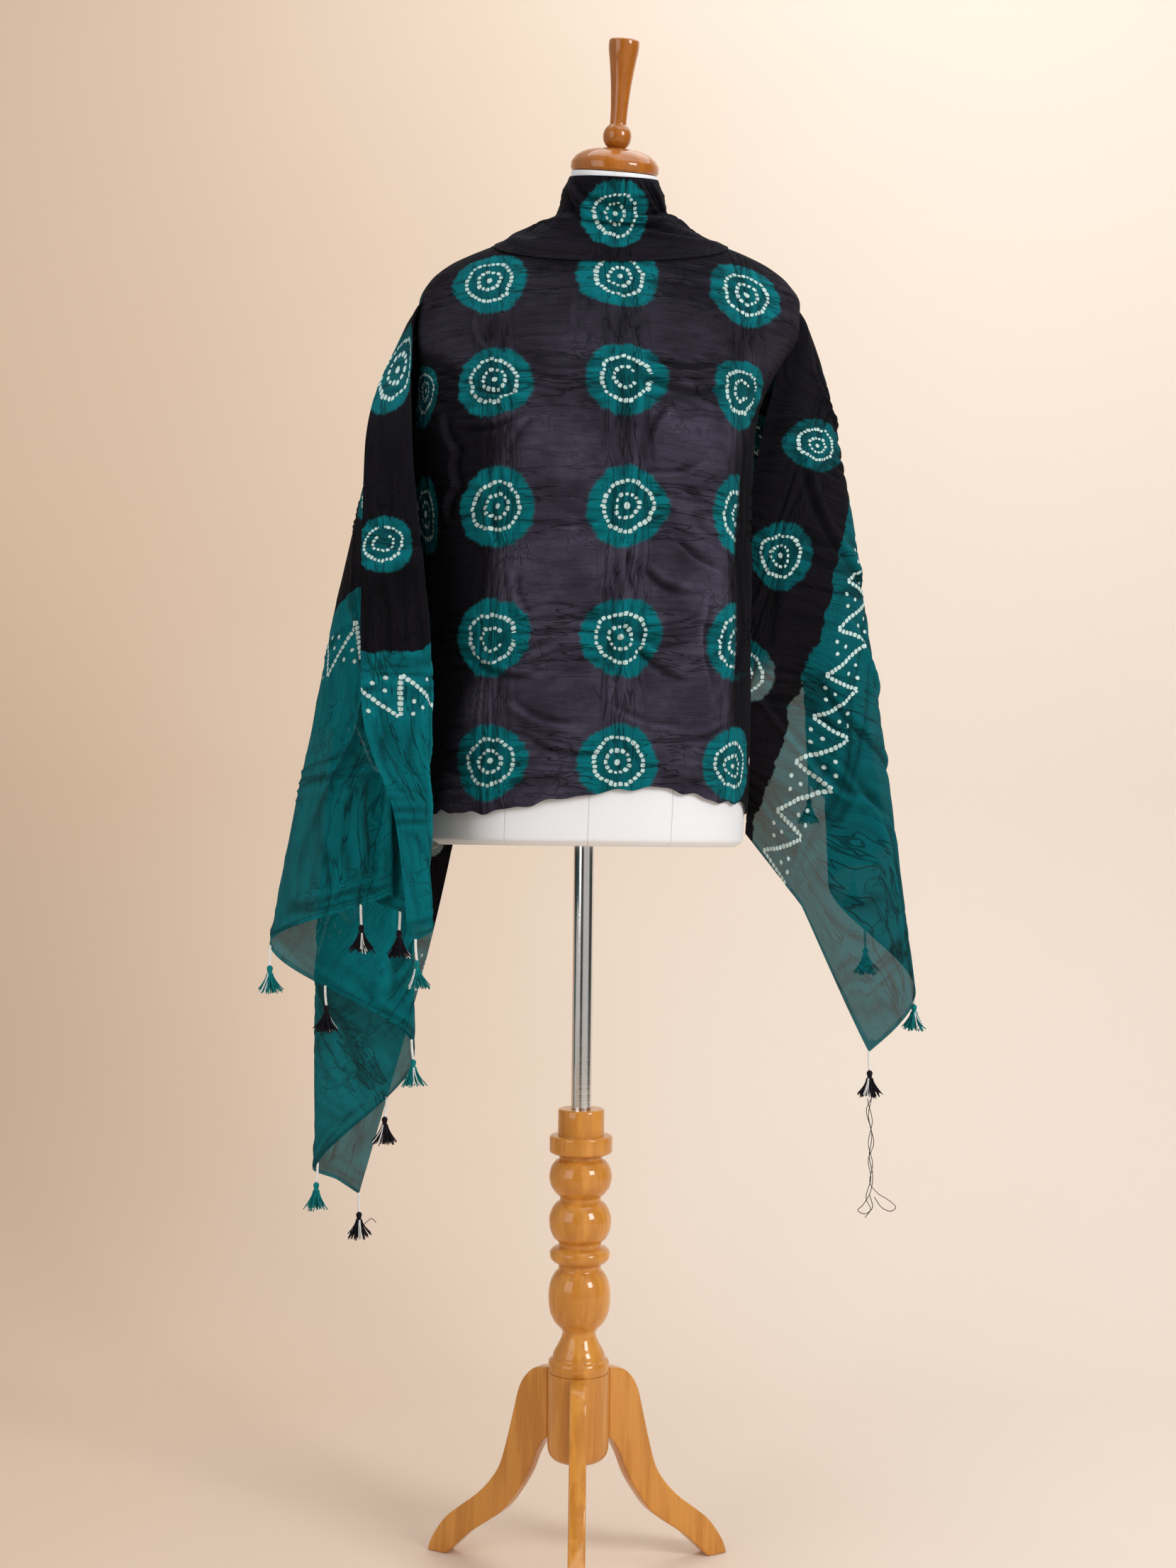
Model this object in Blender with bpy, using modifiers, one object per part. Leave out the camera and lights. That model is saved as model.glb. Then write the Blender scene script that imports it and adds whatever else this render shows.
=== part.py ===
"""Tie-dyed dupatta stole draped over a limbless dress form on a turned wooden stand."""
import math

import bmesh
import bpy
import numpy as np
from mathutils import Matrix, Vector

NAME = "dupatta_stole_on_dress_form"

# Where the stand's axis lies in the part's frame, so that the whole part is centred.
STAND_AT = Vector((-0.016, 0.005, 0.0))

# Clearances and cloth
GAP = 0.0003
WALL = 0.0012
REST = 0.0006

# The form leans to the wearer's left, and its neck leans forward.
FORM_FOOT = 0.790
FORM_SHIFT = 0.003
FORM_LEAN = 0.030
NECK_STARTS = 1.440
NECK_TOP = 1.512
NECK_FORWARD = 0.036
NECK_TILT = math.radians(16)
RING_POWER = 2.3

# Rings of the form: height, half width, depth in front and depth behind, in metres.
FORM_RINGS = (
    # height, half, front, back
    (0.7900, 0.160, 0.104, 0.098),
    (0.7970, 0.168, 0.111, 0.104),
    (0.8500, 0.169, 0.113, 0.106),
    (0.9300, 0.156, 0.105, 0.098),
    (1.0200, 0.139, 0.097, 0.086),
    (1.1200, 0.144, 0.107, 0.088),
    (1.2000, 0.149, 0.120, 0.093),
    (1.2500, 0.152, 0.119, 0.096),
    (1.3000, 0.170, 0.106, 0.099),
    (1.3460, 0.189, 0.089, 0.097),
    (1.3800, 0.187, 0.078, 0.090),
    (1.4000, 0.175, 0.072, 0.084),
    (1.4150, 0.158, 0.067, 0.078),
    (1.4300, 0.130, 0.061, 0.071),
    (1.4430, 0.098, 0.056, 0.065),
    (1.4520, 0.076, 0.053, 0.060),
    (1.4630, 0.059, 0.050, 0.055),
    (1.4750, 0.051, 0.048, 0.050),
    (1.4825, 0.0490, 0.0468, 0.0484),
    (1.4900, 0.0475, 0.0460, 0.0470),
    (1.5000, 0.0467, 0.0454, 0.0458),
    (1.5120, 0.0460, 0.045, 0.045),
)

# Inner side of the cloth on the chest and the shoulders. It hangs past the waist,
# and stands off the form on the wearer's right.
CLOTH_RINGS = (
    # height, left, right, front, back
    (0.8000, 0.1725, 0.1725, 0.119, 0.112),
    (0.9300, 0.1690, 0.1690, 0.120, 0.110),
    (1.0200, 0.1700, 0.1660, 0.121, 0.105),
    (1.1000, 0.1780, 0.1635, 0.123, 0.102),
    (1.1600, 0.1880, 0.1610, 0.126, 0.101),
    (1.2200, 0.1950, 0.1610, 0.128, 0.103),
    (1.2700, 0.1990, 0.1690, 0.121, 0.106),
    (1.3100, 0.2040, 0.1880, 0.110, 0.107),
    (1.3500, 0.2080, 0.2080, 0.093, 0.104),
    (1.3800, 0.2060, 0.2080, 0.082, 0.096),
    (1.4000, 0.1960, 0.1960, 0.076, 0.089),
    (1.4150, 0.1790, 0.1780, 0.071, 0.083),
    (1.4270, 0.1550, 0.1550, 0.066, 0.077),
    (1.4410, 0.1190, 0.1190, 0.061, 0.071),
    (1.4550, 0.0850, 0.0850, 0.057, 0.064),
    (1.4700, 0.0640, 0.0640, 0.054, 0.058),
)

# Hem of the front stretch: share of the way across, height.
FRONT_HEM = (
    (0.00, 0.822), (0.12, 0.824), (0.25, 0.823), (0.38, 0.831), (0.50, 0.843),
    (0.62, 0.851), (0.74, 0.843), (0.84, 0.836), (0.92, 0.838), (1.00, 0.827),
)
FRONT_SIDE = math.radians(79)
FRONT_SHOULDER = math.radians(103)
FRONT_SPREADS_FROM = 1.270
FRONT_SPREADS_TO = 1.345
FRONT_TOP = 1.414
FRONT_TOP_RISE = 0.036
FRONT_CELLS = (24, 16)

# Collar: its lower edge in front and behind, its top edge, and its parting at the nape.
COLLAR_FRONT = 1.405
COLLAR_FRONT_RISE = 0.037
COLLAR_BACK = 1.442
COLLAR_BACK_DROP = 0.012
COLLAR_TOP = 1.507
COLLAR_PARTED = math.radians(26)
COLLAR_PARTED_TOP = math.radians(2)
CLOTH_STOPS = 1.469
NECK_FROM, NECK_TO = 1.455, 1.472
COLLAR_RISE = (
    # share of the way up, clearance
    (0.00, WALL + 2 * GAP), (0.25, WALL + 0.0015), (0.50, 0.0075), (0.75, 0.0080),
    (0.90, 0.0035), (1.00, 0.0010),
)
COLLAR_CELLS = (36, 6)
FORM_SIDES = 32

# Folds of the fall on the wearer's right shoulder, from the selvedge in front to the one
# behind. Each starts on the shoulder, at an angle round the form and a height.
LEFT_FOLDS = (
    # on the shoulder: angle, height, lift; then x, y, z at the breast, waist, hips, hem
    ((-84, 1.350, 0.010),
     (-0.232, -0.100, 1.200), (-0.227, -0.140, 0.938), (-0.190, -0.145, 0.812), (-0.175, -0.140, 0.689)),
    ((-75, 1.346, 0.007),
     (-0.181, -0.112, 1.200), (-0.156, -0.136, 0.939), (-0.156, -0.140, 0.812), (-0.151, -0.136, 0.709)),
    ((-88, 1.351, 0.0),
     (-0.203, -0.056, 1.195), (-0.196, -0.085, 0.942), (-0.206, -0.086, 0.812), (-0.215, -0.086, 0.730)),
    ((-92, 1.352, 0.0),
     (-0.213, -0.070, 1.190), (-0.209, -0.110, 0.940), (-0.203, -0.115, 0.828), (-0.200, -0.110, 0.738)),
    ((-97, 1.354, -0.0017),
     (-0.236, -0.030, 1.190), (-0.284, -0.050, 0.944), (-0.309, -0.050, 0.811), (-0.331, -0.050, 0.682)),
    ((-103, 1.358, 0.0),
     (-0.206, 0.012, 1.185), (-0.190, 0.000, 0.947), (-0.184, -0.014, 0.762), (-0.179, -0.018, 0.571)),
    ((-110, 1.366, 0.0),
     (-0.240, 0.040, 1.180), (-0.273, 0.032, 0.949), (-0.292, 0.026, 0.683), (-0.288, 0.018, 0.437)),
    ((-128, 1.398, 0.0),
     (-0.163, 0.099, 1.270), (-0.196, 0.078, 0.950), (-0.226, 0.052, 0.690), (-0.266, 0.030, 0.421)),
    ((-160, 1.432, 0.0),
     (-0.052, 0.120, 1.310), (-0.118, 0.104, 0.956), (-0.166, 0.064, 0.699), (-0.243, 0.034, 0.405)),
)
RIGHT_FOLDS = (
    # angle, height, lift, then x, y, z at the breast, the waist, the hips and the hem
    ((84, 1.300, 0.0),
     (0.1755, -0.030, 1.150), (0.1765, -0.025, 1.000), (0.1780, -0.010, 0.900), (0.1765, 0.022, 0.805)),
    ((87, 1.342, 0.0),
     (0.215, -0.036, 1.190), (0.222, -0.026, 1.030), (0.230, -0.010, 0.880), (0.236, 0.000, 0.727)),
    ((91, 1.350, 0.0),
     (0.258, -0.020, 1.180), (0.280, -0.020, 1.000), (0.298, -0.008, 0.790), (0.310, 0.000, 0.570)),
    ((96, 1.352, 0.0),
     (0.283, 0.012, 1.183), (0.3135, 0.020, 1.000), (0.342, 0.020, 0.800), (0.3625, 0.020, 0.640)),
    ((102, 1.356, 0.0),
     (0.236, 0.045, 1.190), (0.254, 0.054, 1.030), (0.266, 0.057, 0.880), (0.272, 0.057, 0.749)),
    ((108, 1.364, 0.0),
     (0.264, 0.074, 1.200), (0.298, 0.087, 1.040), (0.325, 0.091, 0.900), (0.345, 0.089, 0.800)),
    ((116, 1.376, 0.0),
     (0.216, 0.098, 1.210), (0.240, 0.112, 1.080), (0.252, 0.120, 0.960), (0.258, 0.124, 0.865)),
    ((127, 1.394, 0.0),
     (0.232, 0.118, 1.240), (0.272, 0.136, 1.120), (0.302, 0.146, 1.010), (0.320, 0.148, 0.935)),
    ((152, 1.428, 0.0),
     (0.135, 0.126, 1.300), (0.175, 0.150, 1.190), (0.208, 0.164, 1.090), (0.228, 0.172, 1.000)),
)

FALL_CELLS = 4
FALL_ROWS = 14

# Tassels: place along the hem, counted in folds, and colour.
LEFT_TASSELS = (
    (8.00, "navy"), (5.97, "teal"), (5.40, "navy"), (4.93, "teal"), (4.42, "navy"),
    (4.02, "teal"), (3.25, "navy"), (1.57, "navy"), (0.20, "teal"),
)
RIGHT_TASSELS = (
    (2.00, "navy"), (3.00, "teal"), (3.54, "teal"), (4.45, "navy"), (5.30, "teal"),
    (6.00, "navy"), (6.60, "teal"), (7.30, "navy"), (8.00, "teal"),
)

# Turned column: height and radius up its outer side.
HUB_BOTTOM = 0.130
HUB_TOP = 0.2247
HUB_RADIUS = 0.033
COLUMN_PROFILE = (
    (0.2250, 0.0290), (0.2265, 0.0318), (0.2310, 0.0330), (0.2370, 0.0322), (0.2400, 0.0285),
    (0.2445, 0.0277), (0.2540, 0.0225), (0.2660, 0.0180), (0.2700, 0.0195), (0.2790, 0.0275),
    (0.2920, 0.0325), (0.3060, 0.0336), (0.3200, 0.0318), (0.3310, 0.0262), (0.3345, 0.0230),
    (0.3400, 0.0230), (0.3425, 0.0285), (0.3475, 0.0322), (0.3520, 0.0325), (0.3570, 0.0290),
    (0.3590, 0.0232), (0.3630, 0.0232), (0.3680, 0.0285), (0.3780, 0.0328), (0.3880, 0.0337),
    (0.3980, 0.0310), (0.4050, 0.0262), (0.4080, 0.0222), (0.4110, 0.0222), (0.4160, 0.0270),
    (0.4240, 0.0322), (0.4330, 0.0340), (0.4420, 0.0325), (0.4500, 0.0275), (0.4530, 0.0232),
    (0.4560, 0.0232), (0.4585, 0.0315), (0.4610, 0.0340), (0.4755, 0.0340), (0.4775, 0.0325),
    (0.4778, 0.0252), (0.5045, 0.0250), (0.5060, 0.0235),
)
TURNED_SIDES = 20
POLE_RADIUS = 0.0111

# Leg board: distance from the axis and height, round the outer edge and back inside.
LEG_THICK = 0.018
LEG_BEVEL = 0.0015
LEG_OUTER = (
    (0.0336, 0.2255), (0.0500, 0.2230), (0.0625, 0.2130), (0.0710, 0.1980), (0.0770, 0.1750),
    (0.0850, 0.1430), (0.0950, 0.1105), (0.1070, 0.0920), (0.1240, 0.0740), (0.1470, 0.0560),
    (0.1645, 0.0415), (0.1760, 0.0270), (0.1850, 0.0120), (0.1890, 0.0000),
)
LEG_INNER = (
    (0.1645, 0.0000), (0.1470, 0.0165), (0.1325, 0.0300), (0.1100, 0.0460), (0.0895, 0.0620),
    (0.0730, 0.0830), (0.0585, 0.1070), (0.0500, 0.1275), (0.0400, 0.1450), (0.0336, 0.1510),
)
LEG_ANGLES = (("leg_front", -90), ("leg_left", 150), ("leg_right", 30))

# Neck cap and finial, along their own tilted axis.
CAP_AT = Vector((0.0250, -0.0365, 1.5128))
CAP_SIDE_TILT = math.radians(3.9)
CAP_PROFILE = (
    (0.0000, 0.0455), (0.0030, 0.0475), (0.0080, 0.0473), (0.0140, 0.0440), (0.0195, 0.0372),
    (0.0235, 0.0270), (0.0250, 0.0160), (0.0252, 0.0100),
)
FINIAL_PROFILE = (
    (0.0256, 0.0092), (0.0290, 0.0126), (0.0330, 0.0146), (0.0380, 0.0152), (0.0430, 0.0142),
    (0.0475, 0.0112), (0.0500, 0.0088), (0.0600, 0.0090), (0.0850, 0.0106), (0.1100, 0.0136),
    (0.1290, 0.0162), (0.1330, 0.0160), (0.1352, 0.0142), (0.1358, 0.0100),
)

# Tassel, down its axis: depth below the hem and radius, then its strands.
TASSEL_PROFILE = (
    (0.0000, 0.0009), (0.0205, 0.0009), (0.0235, 0.0034), (0.0275, 0.0026), (0.0310, 0.0038),
)
TASSEL_SIDES = 8
TASSEL_TURN = 0.7
STRAND_GAP = 0.00022
STRAND_LENGTH = 0.024
STRAND_UNEVEN = 0.10
STRAND_SPREAD = 0.0052
STRAND_TAPER = 0.45

# The loose threads under one tassel: which strand, its length and how far it strays.
LOOSE_TASSEL = ("right", 1)
LOOSE_STRANDS = {3: (0.140, -0.0015), 6: (0.118, 0.0030)}

# How finely the hem is searched, either side of a cord, for its lowest place.
HEM_STEP = 1 / 400
HEM_STEPS = 16

COLOURS = {
    # linear colour, roughness, metallic
    "form": ((0.74, 0.75, 0.80), 0.55, 0.0),
    "wood": ((0.58, 0.28, 0.08), 0.30, 0.0),
    "chrome": ((0.62, 0.60, 0.60), 0.16, 1.0),
    "navy": ((0.012, 0.009, 0.022), 0.75, 0.0),
    "teal": ((0.0, 0.19, 0.20), 0.75, 0.0),
}


def smooth(rows, at, rounded=False):
    """The row at a place between those of a table, on a smooth curve through them.

    It never overshoots, unless it is rounded as cloth is at its folds.
    """
    table = np.asarray(rows, float)
    keys, values = table[:, 0], table[:, 1:]
    at = min(max(at, keys[0]), keys[-1])
    i = min(max(int(np.searchsorted(keys, at)) - 1, 0), len(keys) - 2)
    steps = np.diff(keys)
    rise = np.diff(values, axis=0) / steps[:, None]
    slopes = np.zeros_like(values)
    slopes[0], slopes[-1] = rise[0], rise[-1]
    before, after = rise[:-1], rise[1:]
    if rounded:
        slopes[1:-1] = (before + after) / 2
    else:
        same_way = before * after > 0
        both = np.where(same_way, before + after, 1.0)
        slopes[1:-1] = np.where(same_way, 2 * before * after / both, 0.0)
    step = steps[i]
    t = (at - keys[i]) / step
    return (
        (2 * t**3 - 3 * t**2 + 1) * values[i]
        + (t**3 - 2 * t**2 + t) * step * slopes[i]
        + (3 * t**2 - 2 * t**3) * values[i + 1]
        + (t**3 - t**2) * step * slopes[i + 1]
    )


def ease(start, end, at):
    t = min(max((at - start) / (end - start), 0.0), 1.0)
    return t * t * (3 - 2 * t)


def ring_point(angle, height, left, right, front, back):
    """Point on a rounded ring round the form's leaning centre line. Angle 0 is in front."""
    sine, cosine = math.sin(angle), math.cos(angle)
    across = math.copysign(abs(sine) ** (2 / RING_POWER), sine)
    along = math.copysign(abs(cosine) ** (2 / RING_POWER), cosine)
    x = across * (right if sine > 0 else left)
    y = -along * (front if cosine > 0 else back)
    neck = ease(NECK_STARTS, NECK_TOP, height)
    return Vector((
        FORM_SHIFT + FORM_LEAN * (height - FORM_FOOT) + x,
        y - NECK_FORWARD * neck,
        height + math.tan(NECK_TILT) * neck * y - math.tan(CAP_SIDE_TILT) * neck * x,
    ))


def form_point(angle, height):
    half, front, back = smooth(FORM_RINGS, height)
    return ring_point(angle, height, half, half, front, back)


def cloth_base(angle, height):
    return ring_point(angle, height, *smooth(CLOTH_RINGS, height))


def cloth_point(angle, height, out=0.0):
    """Point on the cloth's inner side, or moved out from it along its normal."""
    here = cloth_base(angle, height)
    if out:
        round_it = cloth_base(angle + 0.02, height) - here
        up_it = cloth_base(angle, height + 0.002) - here
        here = here + round_it.cross(up_it).normalized() * out
    return here


def add_object(name, mesh, material, group):
    obj = bpy.data.objects.new(name, mesh)
    obj.data.materials.append(material)
    group["collection"].objects.link(obj)
    obj.parent = group["stand"]
    return obj


def bent_grid(name, across, down, place, closed=False):
    """A grid bent to shape: place(u, v) gives each corner. A closed one is a capped tube."""
    bm = bmesh.new()
    bmesh.ops.create_grid(bm, x_segments=across, y_segments=down, size=0.5)
    for vert in bm.verts:
        vert.co = place(vert.co.x + 0.5, vert.co.y + 0.5)
    if closed:
        bmesh.ops.remove_doubles(bm, verts=bm.verts, dist=1e-6)
        rims = [edge for edge in bm.edges if edge.is_boundary]
        bmesh.ops.holes_fill(bm, edges=rims, sides=0)
        bmesh.ops.recalc_face_normals(bm, faces=bm.faces)
    mesh = bpy.data.meshes.new(name)
    bm.to_mesh(mesh)
    bm.free()
    mesh.shade_smooth()
    return mesh


def add_wall(obj, offset):
    wall = obj.modifiers.new("cloth wall", "SOLIDIFY")
    wall.thickness = WALL
    wall.offset = offset
    return wall


def turned(name, profile, material, group, sides=TURNED_SIDES):
    """A turned piece: its profile runs down the outer side, and closes on the axis."""
    points = [(0.0, profile[-1][0])]
    points += [(radius, height) for height, radius in reversed(profile)]
    points += [(0.0, profile[0][0])]
    mesh = bpy.data.meshes.new(name)
    mesh.from_pydata(
        [(radius, 0.0, height) for radius, height in points],
        [(i, i + 1) for i in range(len(points) - 1)],
        [],
    )
    obj = add_object(name, mesh, material, group)
    spin = obj.modifiers.new("turn", "SCREW")
    spin.steps = sides
    spin.render_steps = sides
    spin.use_merge_vertices = True
    spin.merge_threshold = 1e-6
    return obj


def build_form(group):
    heights = [row[0] for row in FORM_RINGS]
    last = len(heights) - 1

    def place(u, v):
        return form_point(2 * math.pi * u, heights[round(v * last)])

    mesh = bent_grid("dress_form", FORM_SIDES, last, place, closed=True)
    add_object("dress_form", mesh, group["form"], group)


def build_neck(group):
    tilt = Matrix.Rotation(CAP_SIDE_TILT, 4, "Y") @ Matrix.Rotation(NECK_TILT, 4, "X")
    for name, profile in (("neck_cap", CAP_PROFILE), ("finial", FINIAL_PROFILE)):
        obj = turned(name, profile, group["wood"], group)
        obj.matrix_local = Matrix.Translation(CAP_AT) @ tilt


def build_stand(group):
    turned("column", COLUMN_PROFILE, group["wood"], group)
    hub = (
        (HUB_BOTTOM, 0.0200), (HUB_BOTTOM + 0.003, 0.0275), (HUB_BOTTOM + 0.010, 0.0320),
        (HUB_BOTTOM + 0.018, HUB_RADIUS), (HUB_TOP, HUB_RADIUS),
    )
    turned("hub", hub, group["wood"], group)
    top = COLUMN_PROFILE[-1][0] + GAP
    pole = ((top, POLE_RADIUS), (FORM_FOOT - GAP, POLE_RADIUS))
    turned("pole", pole, group["chrome"], group)


def leg_outline():
    outer = [(row[1], row[0]) for row in LEG_OUTER]
    inner = [(row[1], row[0]) for row in reversed(LEG_INNER)]
    points = []
    for rows, side in ((outer, 1), (inner, -1)):
        turns = [(i, across, height) for i, (height, across) in enumerate(rows)]
        count = 2 * (len(turns) - 1)
        edge = [smooth(turns, i / 2) for i in range(count + 1)]
        points += edge if side > 0 else edge[::-1]
    return points


def build_legs(group):
    curve = bpy.data.curves.new("leg", "CURVE")
    curve.dimensions = "2D"
    curve.fill_mode = "BOTH"
    curve.extrude = LEG_THICK / 2 - LEG_BEVEL
    curve.bevel_depth = LEG_BEVEL
    curve.bevel_resolution = 0
    curve.offset = -LEG_BEVEL
    points = leg_outline()
    spline = curve.splines.new("POLY")
    spline.points.add(len(points) - 1)
    for point, (across, height) in zip(spline.points, points):
        point.co = (across, height, 0.0, 1.0)
    spline.use_cyclic_u = True
    stand_up = Matrix.Rotation(math.pi / 2, 4, "X")
    for name, degrees in LEG_ANGLES:
        board = bpy.data.objects.new(name, curve.copy())
        board.data.materials.append(group["wood"])
        group["collection"].objects.link(board)
        board.parent = group["stand"]
        board.matrix_local = Matrix.Rotation(math.radians(degrees), 4, "Z") @ stand_up
        weld = board.modifiers.new("close", "WELD")
        weld.merge_threshold = 1e-6


def build_front(group):
    """The stretch across the chest, from its hem up to the shoulders and the collar."""

    def place(u, v):
        low = smooth(FRONT_HEM, u)[0]
        height = low
        # How far a row spreads depends on its height, and its height on that, so in rounds.
        for _ in range(3):
            spread = ease(FRONT_SPREADS_FROM, FRONT_SPREADS_TO, height)
            side = FRONT_SIDE + (FRONT_SHOULDER - FRONT_SIDE) * spread
            angle = side * (2 * u - 1)
            top = FRONT_TOP + FRONT_TOP_RISE * math.sin(angle) ** 2
            height = low + (top - low) * v
        return cloth_point(angle, height)

    mesh = bent_grid("front_stretch", *FRONT_CELLS, place)
    add_wall(add_object("front_stretch", mesh, group["navy"], group), 1.0)


def build_collar(group):
    """The tucked top edge, wrapped round the neck and parted at the nape."""

    def place(u, v):
        parted = COLLAR_PARTED + (COLLAR_PARTED_TOP - COLLAR_PARTED) * v
        angle = (math.pi - parted) * (2 * u - 1)
        if abs(angle) < math.pi / 2:
            low = COLLAR_FRONT + COLLAR_FRONT_RISE * math.sin(angle) ** 2
        else:
            low = COLLAR_BACK - COLLAR_BACK_DROP * math.cos(angle) ** 2
        height = low + (COLLAR_TOP - low) * v
        clear = smooth(COLLAR_RISE, v)[0]
        on_cloth = cloth_point(angle, min(height, CLOTH_STOPS), clear)
        on_neck = form_point(angle, height)
        centre = (form_point(0.0, height) + form_point(math.pi, height)) / 2
        on_neck = on_neck + (on_neck - centre).normalized() * clear
        return on_cloth.lerp(on_neck, ease(NECK_FROM, NECK_TO, height))

    mesh = bent_grid("neck_wrap", *COLLAR_CELLS, place)
    add_wall(add_object("neck_wrap", mesh, group["navy"], group), 1.0)


def fold_lines(rows):
    """Each fold as five points, from the shoulder to the hem."""
    lines = []
    for (angle, height, lift), *levels in rows:
        top = cloth_point(math.radians(angle), height, WALL + REST + WALL / 2 + lift)
        lines.append([tuple(top), *levels])
    return np.array(lines, float)


def fall_point(lines, fold, down):
    """Point at a place across the folds and a share of the way down to the hem."""
    steps = np.arange(lines.shape[1]) / (lines.shape[1] - 1)
    across = np.arange(lines.shape[0])
    at_levels = []
    for k in range(len(steps)):
        rows = np.column_stack([across, lines[:, k]])
        x, y, _ = smooth(rows, fold, rounded=True)
        at_levels.append((x, y, smooth(rows, fold)[2]))
    return Vector(smooth(np.column_stack([steps, at_levels]), down))


def fall_columns(folds):
    """Places across the folds where the wall has its columns, closer at each fold's bend."""
    shares = [(1 - math.cos(math.pi * k / FALL_CELLS)) / 2 for k in range(FALL_CELLS)]
    return [fold + share for fold in range(folds - 1) for share in shares] + [folds - 1]


def hem_point(lines, fold):
    """Point on the hem as the wall has it, straight between its columns."""
    columns = fall_columns(len(lines))
    k = min(max(int(np.searchsorted(columns, fold)), 1), len(columns) - 1)
    share = (fold - columns[k - 1]) / (columns[k] - columns[k - 1])
    start = fall_point(lines, columns[k - 1], 1.0)
    return start.lerp(fall_point(lines, columns[k], 1.0), share)


def build_fall(name, rows, group):
    lines = fold_lines(rows)
    columns = fall_columns(len(rows))
    last = len(columns) - 1

    def place(u, v):
        return fall_point(lines, columns[round(u * last)], 1 - v)

    mesh = bent_grid(name, last, FALL_ROWS, place)
    add_wall(add_object(name, mesh, group["teal"], group), 0.0)


def tassel_mesh(name, loose):
    """Cord, bound head and strands, drawn out of the faces of one turned body."""
    bm = bmesh.new()
    (_, thin), (cord_end, _) = TASSEL_PROFILE[:2]
    bmesh.ops.create_cone(
        bm, cap_ends=True, segments=TASSEL_SIDES, radius1=thin, radius2=thin, depth=cord_end,
        matrix=Matrix.Translation((0.0, 0.0, -cord_end / 2)),
    )
    face = min(bm.faces, key=lambda each: each.calc_center_median().z)
    for (depth, radius), (_, last) in zip(TASSEL_PROFILE[2:], TASSEL_PROFILE[1:]):
        face = bmesh.ops.extrude_discrete_faces(bm, faces=[face])["faces"][0]
        for vert in face.verts:
            vert.co = Vector((vert.co.x * radius / last, vert.co.y * radius / last, -depth))
    wedges = bmesh.ops.poke(bm, faces=[face])["faces"]
    bmesh.ops.inset_individual(bm, faces=wedges, thickness=STRAND_GAP)
    roots = bmesh.ops.extrude_discrete_faces(bm, faces=wedges)["faces"]
    for i, root in enumerate(roots):
        centre = root.calc_center_median()
        outward = Vector((centre.x, centre.y, 0.0)).normalized()
        uneven = 1 - STRAND_UNEVEN * (1 - math.cos(2.4 * i))
        length, spread = loose.get(i, (STRAND_LENGTH * uneven, STRAND_SPREAD))
        end = centre + outward * spread - Vector((0.0, 0.0, length))
        for vert in root.verts:
            vert.co = end + (vert.co - centre) * STRAND_TAPER
    bmesh.ops.recalc_face_normals(bm, faces=bm.faces)
    mesh = bpy.data.meshes.new(name)
    bm.to_mesh(mesh)
    bm.free()
    return mesh


def build_tassels(side, rows, tassels, group):
    """Each tassel hangs from the lowest place of the hem over its cord's end."""
    lines = fold_lines(rows)
    cord = TASSEL_PROFILE[0][1]
    for number, (fold, colour) in enumerate(tassels, start=1):
        here = hem_point(lines, fold)
        near = [hem_point(lines, fold + k * HEM_STEP) for k in range(-HEM_STEPS, HEM_STEPS + 1)]
        above = [p.z for p in near if math.hypot(p.x - here.x, p.y - here.y) < 2 * cord]
        here.z = min(above)
        name = f"tassel_{side}_{number}"
        loose = LOOSE_STRANDS if (side, number) == LOOSE_TASSEL else {}
        obj = add_object(name, tassel_mesh(name, loose), group[colour], group)
        obj.location = here - Vector((0.0, 0.0, GAP))
        obj.rotation_euler.z = TASSEL_TURN * number


def main():
    for obj in list(bpy.data.objects):
        bpy.data.objects.remove(obj, do_unlink=True)
    collection = bpy.data.collections.new(NAME)
    bpy.context.scene.collection.children.link(collection)
    stand = bpy.data.objects.new("stand_axis", None)
    stand.location = STAND_AT
    collection.objects.link(stand)
    group = {"collection": collection, "stand": stand}
    for name, (colour, roughness, metallic) in COLOURS.items():
        material = bpy.data.materials.new(name)
        material.use_nodes = True
        shader = material.node_tree.nodes["Principled BSDF"]
        shader.inputs["Base Color"].default_value = (*colour, 1.0)
        shader.inputs["Roughness"].default_value = roughness
        shader.inputs["Metallic"].default_value = metallic
        group[name] = material
    build_form(group)
    build_neck(group)
    build_stand(group)
    build_legs(group)
    build_front(group)
    build_collar(group)
    build_fall("left_fall", LEFT_FOLDS, group)
    build_fall("right_fall", RIGHT_FOLDS, group)
    build_tassels("left", LEFT_FOLDS, LEFT_TASSELS, group)
    build_tassels("right", RIGHT_FOLDS, RIGHT_TASSELS, group)


main()
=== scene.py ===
"""Looks of a tie-dyed dupatta stole draped over a dress form on a turned wooden stand."""

import math

import bpy
import numpy as np
from mathutils import Matrix, Vector, noise


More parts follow.
